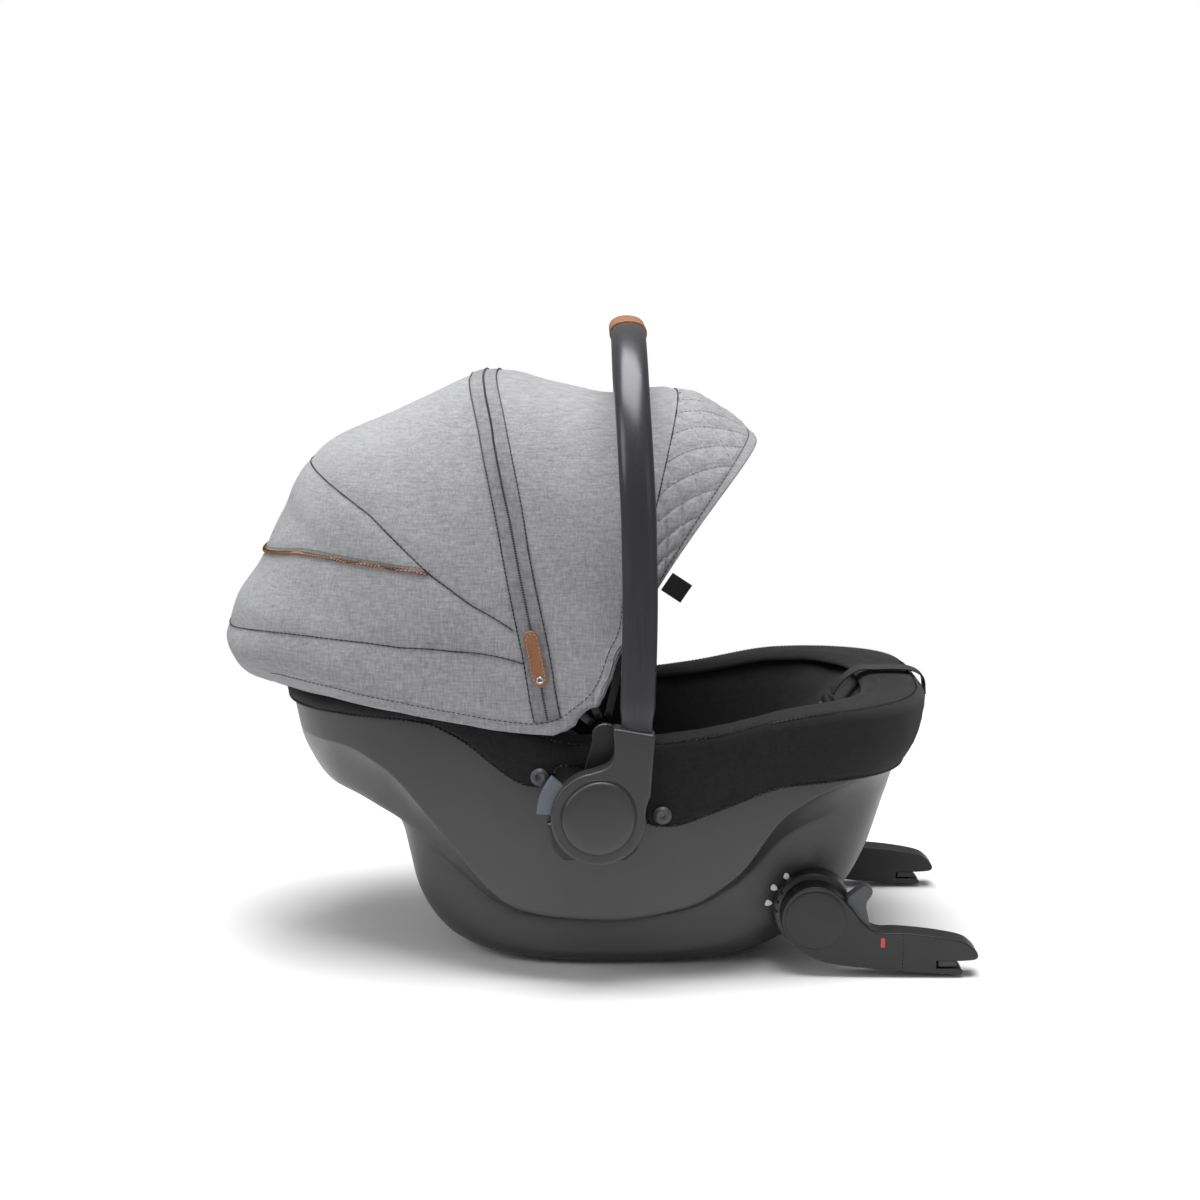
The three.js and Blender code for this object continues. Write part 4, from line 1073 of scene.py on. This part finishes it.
def face_outward(sheet):
    """True if most faces of the open sheet look away from the canopy's axis."""
    centre = Vector((CANOPY_AXIS[0] * MM, 0, CANOPY_AXIS[1] * MM))
    return sum(p.area * (1 if p.normal.dot(p.center - centre) > 0 else -1) for p in sheet.data.polygons) > 0


def fold(piece):
    """Bakes the piece's transform into its mesh."""
    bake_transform(piece)


canopy_grid, canopy_rows = build_canopy()


def grid_line(nominal, start=0, end=None):
    """Line on the canopy's outer surface at one nominal angle."""
    return canopy_grid[int(np.argmin(np.abs(canopy_rows - nominal)))][start:end]


def surface_tree():
    rows, columns = canopy_grid.shape[:2]
    return BVHTree.FromPolygons([tuple(p) for p in canopy_grid.reshape(-1, 3)], grid_faces(rows, columns))


canopy_tree = surface_tree()


def softened(values, times=3):
    for _ in range(times):
        padded = np.vstack([values[:1], values, values[-1:]])
        values = (padded[:-2] + 2 * padded[1:-1] + padded[2:]) / 4
    return values


def snapped(line, lift):
    """Line laid on the canopy's outer surface and lifted off it, with the surface's normals."""
    places, normals = [], []
    for p in line:
        place, normal, _, _ = canopy_tree.find_nearest(Vector(p))
        outward = Vector(p) - Vector((CANOPY_AXIS[0], 0, CANOPY_AXIS[1]))
        places.append(place)
        normals.append(normal if normal.dot(outward) > 0 else -normal)
    normals = softened(np.array(normals), 6)
    normals /= np.linalg.norm(normals, axis=1)[:, None]
    return softened(np.array(places), 2) + normals * lift, normals


def trim(piece):
    fold(piece)


def build_canopy_trim():
    # Seam threads drawn dark; the dark colour is partly the thread and partly painted shade standing in for each
    # seam's groove.
    for name, seam, radius in (("seam_rear_bow_painted_shade", SEAM_REAR_BOW, 0.75), ("seam_lower_painted_shade", SEAM_LOWER, 0.65)):
        line, _ = snapped(over_the_top(seam, 0), 0.35)
        trim(tube(name, line, radius, THREAD, 6))
    line, _ = snapped(over_the_top(SEAM_PIPING, 0), 1.7)
    trim(tube("leather_piping", line, 1.9, LEATHER, 10))
    above = [[a + math.degrees(5 / r), r] for a, r in SEAM_PIPING]
    line, normal = snapped(over_the_top(above, 0), 0.25)
    trim(stitches("piping_stitches", line, STITCH, 3.0, 1.6, 0.4, 0.3, normal=normal))
    # Seam thread drawn dark; the dark colour is partly the thread and partly painted shade standing in for the
    # seam's groove.
    line, _ = snapped(grid_line(13.0, start=18, end=-18), 0.35)
    trim(tube("seam_front_bow_painted_shade", line, 0.75, THREAD, 6))
    line, normal = snapped(grid_line(VISOR_TIP - 2.2, start=28, end=-28), 0.3)
    trim(stitches("visor_hem_stitches", line, THREAD, 3.0, 1.6, 0.4, 0.3, normal=normal))
    for step in range(4):
        line, normal = snapped(quilt_line(step * QUILT_STEP), 0.25)
        trim(stitches(f"quilting_{step}", line, STITCH, 3.2, 1.8, 0.36, 0.25, normal=normal))
    build_zip()
    build_side_hems()


def zip_line(offset):
    """Line along the zip, offset millimetres towards the front."""
    angle, radius = np.array(SEAM_ZIP, float).T
    place = np.stack([radius * np.sin(np.radians(angle)), radius * np.cos(np.radians(angle))], 1)
    place = smooth_curve(np.column_stack([place, np.zeros(len(place))]), 60)[:, :2]
    along = np.gradient(place, axis=0)
    along /= np.linalg.norm(along, axis=1)[:, None]
    place = place + np.stack([along[:, 1], -along[:, 0]], 1) * offset
    beside = np.stack([np.degrees(np.arctan2(place[:, 0], place[:, 1])), np.hypot(*place.T)], 1)
    return over_the_top(beside[np.argsort(beside[:, 1])], 0, 220)


def build_zip():
    half_width = 11.5
    across = []
    for offset in np.linspace(-half_width, half_width, 9):
        line, _ = snapped(zip_line(offset), 0.8)
        across.append(line)
    band = skin("zip_tape", np.array(across), TAPE)
    thick = band.modifiers.new("thickness", "SOLIDIFY")
    thick.thickness = 0.9 * MM
    thick.offset = 0
    apply_modifiers(band)
    band.data.shade_smooth()
    trim(band)
    line, normal = snapped(zip_line(0), 1.5)
    trim(stitches("zip_teeth", line, THREAD, 1.3, 0.8, 1.1, 0.1, normal=normal))
    for tag, offset in (("rear", -half_width), ("front", half_width)):
        line, _ = snapped(zip_line(offset), 1.1)
        trim(tube(f"zip_edge_{tag}", line, 0.75, THREAD, 6))


def build_side_hems():
    """Stitched hem a finger's width inside the canopy's lower edge."""
    for tag, side in SIDES:
        points = []
        for radius in np.linspace(300, 60, 30):
            angle = float(cloth_angle(REAR_END, radius)) + math.degrees(9 / radius)
            points.append((angle, radius))
        points += [(-72, 42), (-50, 35), (-28, 35), (-14, 40), (-3, 52), (3.5, 72), (8, 92)]
        points += [(FRONT_BOW - math.degrees(8 / r), r) for r in (115, 140, 170)]
        a, r = np.array(points).T
        width = CANOPY_HALF * (1 - np.clip(r / crown(a), 0, 1) ** CANOPY_CORNER) ** (1 / CANOPY_CORNER)
        line, normal = snapped(smooth_curve(on_canopy(a, r, side * width), 160), 0.3)
        trim(stitches(f"canopy_hem_{tag}", line, THREAD, 3.0, 1.5, 0.38, 0.25, normal=normal))


build_canopy_trim()


def outward_normals(line):
    """Directions across the canopy's arch: sideways at the sides, away from its axis over the middle."""
    out = line - np.array([CANOPY_AXIS[0], 0, CANOPY_AXIS[1]])
    sideways = np.sign(out[:, 1]) * (np.abs(out[:, 1]) / CANOPY_HALF) ** 6
    radial = np.hypot(out[:, 0], out[:, 2])
    share = np.clip(radial / 300, 0, 1) ** 3
    normal = np.stack([out[:, 0] / radial * share, sideways, out[:, 2] / radial * share], 1)
    return normal / np.linalg.norm(normal, axis=1)[:, None]


def build_bows():
    """Flat spring strips in their own layers inside the cloth; the middle one, like the cloth, rides no body."""
    layers = (("rear", REAR_BOW, 343, 182.0), ("mid", MID_BOW, 311, 178.2),
              ("front", FRONT_BOW, 282, 174.0))
    for name, angle, peak, half_width in layers:
        y, radius = arch(peak, half_width, 14, 120)
        line = on_canopy(np.full(len(y), float(angle)), radius, y)
        bow = tube(f"bow_strip_{name}", line, 0, BLACK, 16, flat=(3.4, 1.0), normal=outward_normals(line))
        if name == "mid":
            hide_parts("bow_mid")
            fold(bow)
        else:
            body = "carrier" if name == "rear" else "canopy_front_part"
            stand(bow, body, "black_plastic", f"bow_{name}")


build_bows()


def build_tab_and_tag():
    centre = on_canopy(np.array(-41.8), np.array(88.5), -(CANOPY_HALF + 4.4))
    a = math.radians(-12.5)
    along = np.array([math.sin(a), 0, math.cos(a)])
    across = np.array([math.cos(a), 0, -math.sin(a)])
    outline = []
    for cx, start in ((18.5, 0), (-18.5, 180)):
        for k in range(13):
            t = math.radians(start + k * 15)
            outline.append(centre + along * (cx + 6.4 * math.sin(t)) + across * 6.4 * math.cos(t))
    outline = [(p[0], p[2]) for p in outline]
    y = centre[1]
    tab = plate("zip_tab", outline, y + 1.1, y - 1.1, LEATHER, 0.8, 3)
    stand(tab, "canopy_mid_part", "leather", "zip_pull")
    line = np.array([(p[0], y - 1.2, p[1]) for p in outline])
    middle = line.mean(0)
    line = middle + (line - middle) * np.array([0.78, 1, 0.9])
    line = looped(line, 120, closed=False)
    stand(stitches("zip_tab_stitches", line, STITCH, 2.2, 1.3, 0.3, 0.15), "canopy_mid_part", "leather")
    hole = centre - along * 18.5
    profile = [(1.6, -y + 1.0), (1.8, -y + 1.9), (2.8, -y + 2.1), (3.4, -y + 1.5), (3.4, -y + 0.8),
               (1.6, -y + 0.8)]
    ring = lathe_y("zip_tab_eyelet", profile, hole[0], hole[2], -1, STEEL, 28)
    stand(ring, "canopy_mid_part", "steel")
    build_tag()


def build_tag():
    """Plain woven loop tag at the visor's edge."""
    middle = np.array([33, -177.6, 354.0])
    a = math.radians(34)
    along = np.array([math.cos(a), 0, -math.sin(a)])
    down = np.array([-math.sin(a), 0, -math.cos(a)])
    rows = []
    for i in range(15):
        u = -1 + 2 * i / 14
        row = []
        for j in range(28):
            t = j / 28 * 2 * math.pi
            c, s = math.cos(t), math.sin(t)
            v = math.copysign(abs(c) ** 0.4, c)
            w = math.copysign(abs(s) ** 0.6, s)
            curl = 1.2 * math.sin(u * 1.6) - 0.8 * v * v
            bend = np.array([0, 0.8 * w + curl * 0.5, 0])
            row.append(middle + along * (10 * u) + down * (9 * v) + bend)
        rows.append(row)
    tag = skin("edge_tag_cloth", rows, KNIT, wrap_columns=True, caps=True)
    stand(tag, "canopy_front_part", "black_plastic", "edge_tag")


build_tab_and_tag()


# ---------- anchor arms ----------
def arm_outline():
    """Side view of an arm, after points picked on the photo and turned into x and z by a scratch script."""
    disc = arc(*ISOFIX_AXIS, 30, 48, 225, 48)
    under = [disc[-1], (146, 24), (160, 16.5), (178, 11.5), (207, 8), (240, 5), (284, 2.4)]
    jaw = [(288.5, 2.8), (290, 4.8), (287.5, 8), (266, 8), (266, 15), (287, 15)]
    tip = [(287, 15), (300, 16.2), (303, 20), (298, 27), (288, 33), (262, 38), (232, 41), (217, 41),
           (207, 44.5), (199, 51), (191, 62)]
    under = smooth_curve(np.array(under), 30)[1:]
    tip = smooth_curve(np.array(tip), 50)[1:]
    return [*disc, *map(tuple, under), *jaw, *map(tuple, tip)]


STOP_PROFILE = [(0.3, 126.8), (1.4, 126.7), (1.8, 126.4), (1.8, 125.4), (0.3, 125.4)]
LEVER_OUTLINE = [(186, 41), (206, 41), (205.6, 52), (203.6, 66), (208.4, 74), (208.2, 79.5), (201.5, 82),
                 (191, 75), (186, 68)]


def build_arms():
    cx, cz = ISOFIX_AXIS
    for tag, side in SIDES:
        body = f"isofix_{tag}"
        arm = plate(f"anchor_arm_{tag}", arm_outline(), side * 127.2, side * 152, BLACK, 2.4, 4, 25)
        stand(arm, body, "black_plastic", f"isofix_arm_{tag}")
        disc = lathe_y(f"anchor_disc_{tag}",
                       [(0.5, 153.0), (17, 152.9), (24.5, 152.8), (26.6, 152.5), (27.6, 151.6), (27.6, 150.5),
                        (0.5, 150.5)], cx, cz, side, BLACK, 72)
        stand(disc, body, "black_plastic")
        for i, a in enumerate((150, 165, 180)):
            t = math.radians(a)
            x, z = cx + 33.4 * math.cos(t), cz + 33.4 * math.sin(t)
            notch = lathe_y(f"anchor_stop_{i}_{tag}", STOP_PROFILE, x, z, side, BLACK, 16)
            stand(notch, "carrier", "black_plastic")
        seam = tube(f"anchor_seam_{tag}", [(236, side * 152.0, 39.5 - 35 * t) for t in np.linspace(0, 1, 12)],
                    0.5, THREAD, 6)
        stand(seam, body, "black_plastic")
        slot = [(268, 9), (284, 9), (284, 14.4), (268, 14.4)]
        jaw = plate(f"anchor_slot_{tag}", slot, side * 130, side * 149, DARK, 0.4, 2)
        stand(jaw, body, "black_plastic")
        outline = smooth_curve(np.array(LEVER_OUTLINE), 48, closed=True)
        lever = plate(f"anchor_lever_{tag}", outline, side * 132.2, side * 146.8, GREY, 1.4, 3, 40)
        stand(lever, f"isofix_release_{tag}", "grey_plastic", f"isofix_lever_{tag}")


build_arms()


# ---------- CAD nodes that stay, with better finishes ----------
KEPT_SINGLE = {"foam_liner": FOAM, "buckle_body": BLACK, "buckle_button": RED, "adjuster_housing": BLACK,
               "adjuster_button": GREY}
KEPT_PAIRS = {"buckle_tongue": STEEL, "adapter_socket": BLACK, "canopy_mount": BLACK, "handle_pivot": STEEL,
              "isofix_pivot": STEEL, "isofix_latch": BLACK, "isofix_indicator": RED}
SOFT_EDGES = {"buckle_body": 1.2, "buckle_tongue": 0.5, "adjuster_housing": 0.8, "adapter_socket": 0.8,
              "canopy_mount": 0.8}


def finish(name, material, edge):
    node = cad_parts[name]
    node.data.materials.clear()
    node.data.materials.append(material)
    if edge:
        bevelled(node, edge, 2)


for name, material in KEPT_SINGLE.items():
    finish(name, material, SOFT_EDGES.get(name))
for name, material in KEPT_PAIRS.items():
    for tag, _ in SIDES:
        finish(f"{name}_{tag}", material, SOFT_EDGES.get(name))


# ---------- floor and light ----------
def area_light(name, place, target, size, power):
    data = bpy.data.lights.new(name, "AREA")
    data.shape = "RECTANGLE"
    data.size, data.size_y = size
    data.energy = power
    light = bpy.data.objects.new(name, data)
    bpy.context.scene.collection.objects.link(light)
    light.location = place
    light.rotation_euler = (Vector(target) - Vector(place)).to_track_quat("-Z", "Y").to_euler()


def floor_material():
    """Pale floor that fades out far from the object, so that no horizon shows."""
    n = Nodes("studio_floor")
    tone = n.noise(0.8, 2.0)
    n.put(n.shader, Base_Color=n.ramp(tone, [(0.2, (0.86, 0.86, 0.86)), (0.8, (0.89, 0.89, 0.89))]))
    n.shader.inputs["Roughness"].default_value = 0.9
    distance = n.put(n.add("VectorMath", operation="LENGTH"), Vector=n.place).outputs["Value"]
    fade = n.put(n.add("MapRange", interpolation_type="SMOOTHSTEP"), Value=distance)
    fade.inputs["From Min"].default_value = 0.5
    fade.inputs["From Max"].default_value = 1.5
    fade.inputs["To Min"].default_value = 1.0
    fade.inputs["To Max"].default_value = 0.0
    n.put(n.shader, Alpha=fade.outputs["Result"])
    return n.material


def build_studio():
    scene = bpy.context.scene
    rows = []
    for radius in (1, 400, 800, 1200, 1600):
        angle = np.arange(64) / 64 * 2 * math.pi
        rows.append(np.stack([radius * np.cos(angle), radius * np.sin(angle), np.full(64, -0.5)], 1))
    skin("studio_floor", rows, floor_material(), wrap_columns=True)
    world = bpy.data.worlds.new("studio_world")
    world.use_nodes = True
    tree = world.node_tree
    background = tree.nodes["Background"]
    background.inputs["Color"].default_value = (1, 1, 1, 1)
    light_path = tree.nodes.new("ShaderNodeLightPath")
    strength = tree.nodes.new("ShaderNodeMapRange")
    strength.inputs["To Min"].default_value = 0.27
    strength.inputs["To Max"].default_value = 1.0
    tree.links.new(light_path.outputs["Is Camera Ray"], strength.inputs["Value"])
    tree.links.new(strength.outputs["Result"], background.inputs["Strength"])
    scene.world = world
    target = (0, 0, 0.3)
    area_light("key", (-2.5, -1.4, 1.7), target, (1.4, 1.6), 28)
    area_light("top", (-0.1, -0.2, 2.6), target, (2.0, 2.0), 122)
    area_light("fill", (2.4, -2.2, 1.0), target, (1.2, 1.8), 6)
    scene.view_settings.view_transform = "Standard"


build_studio()
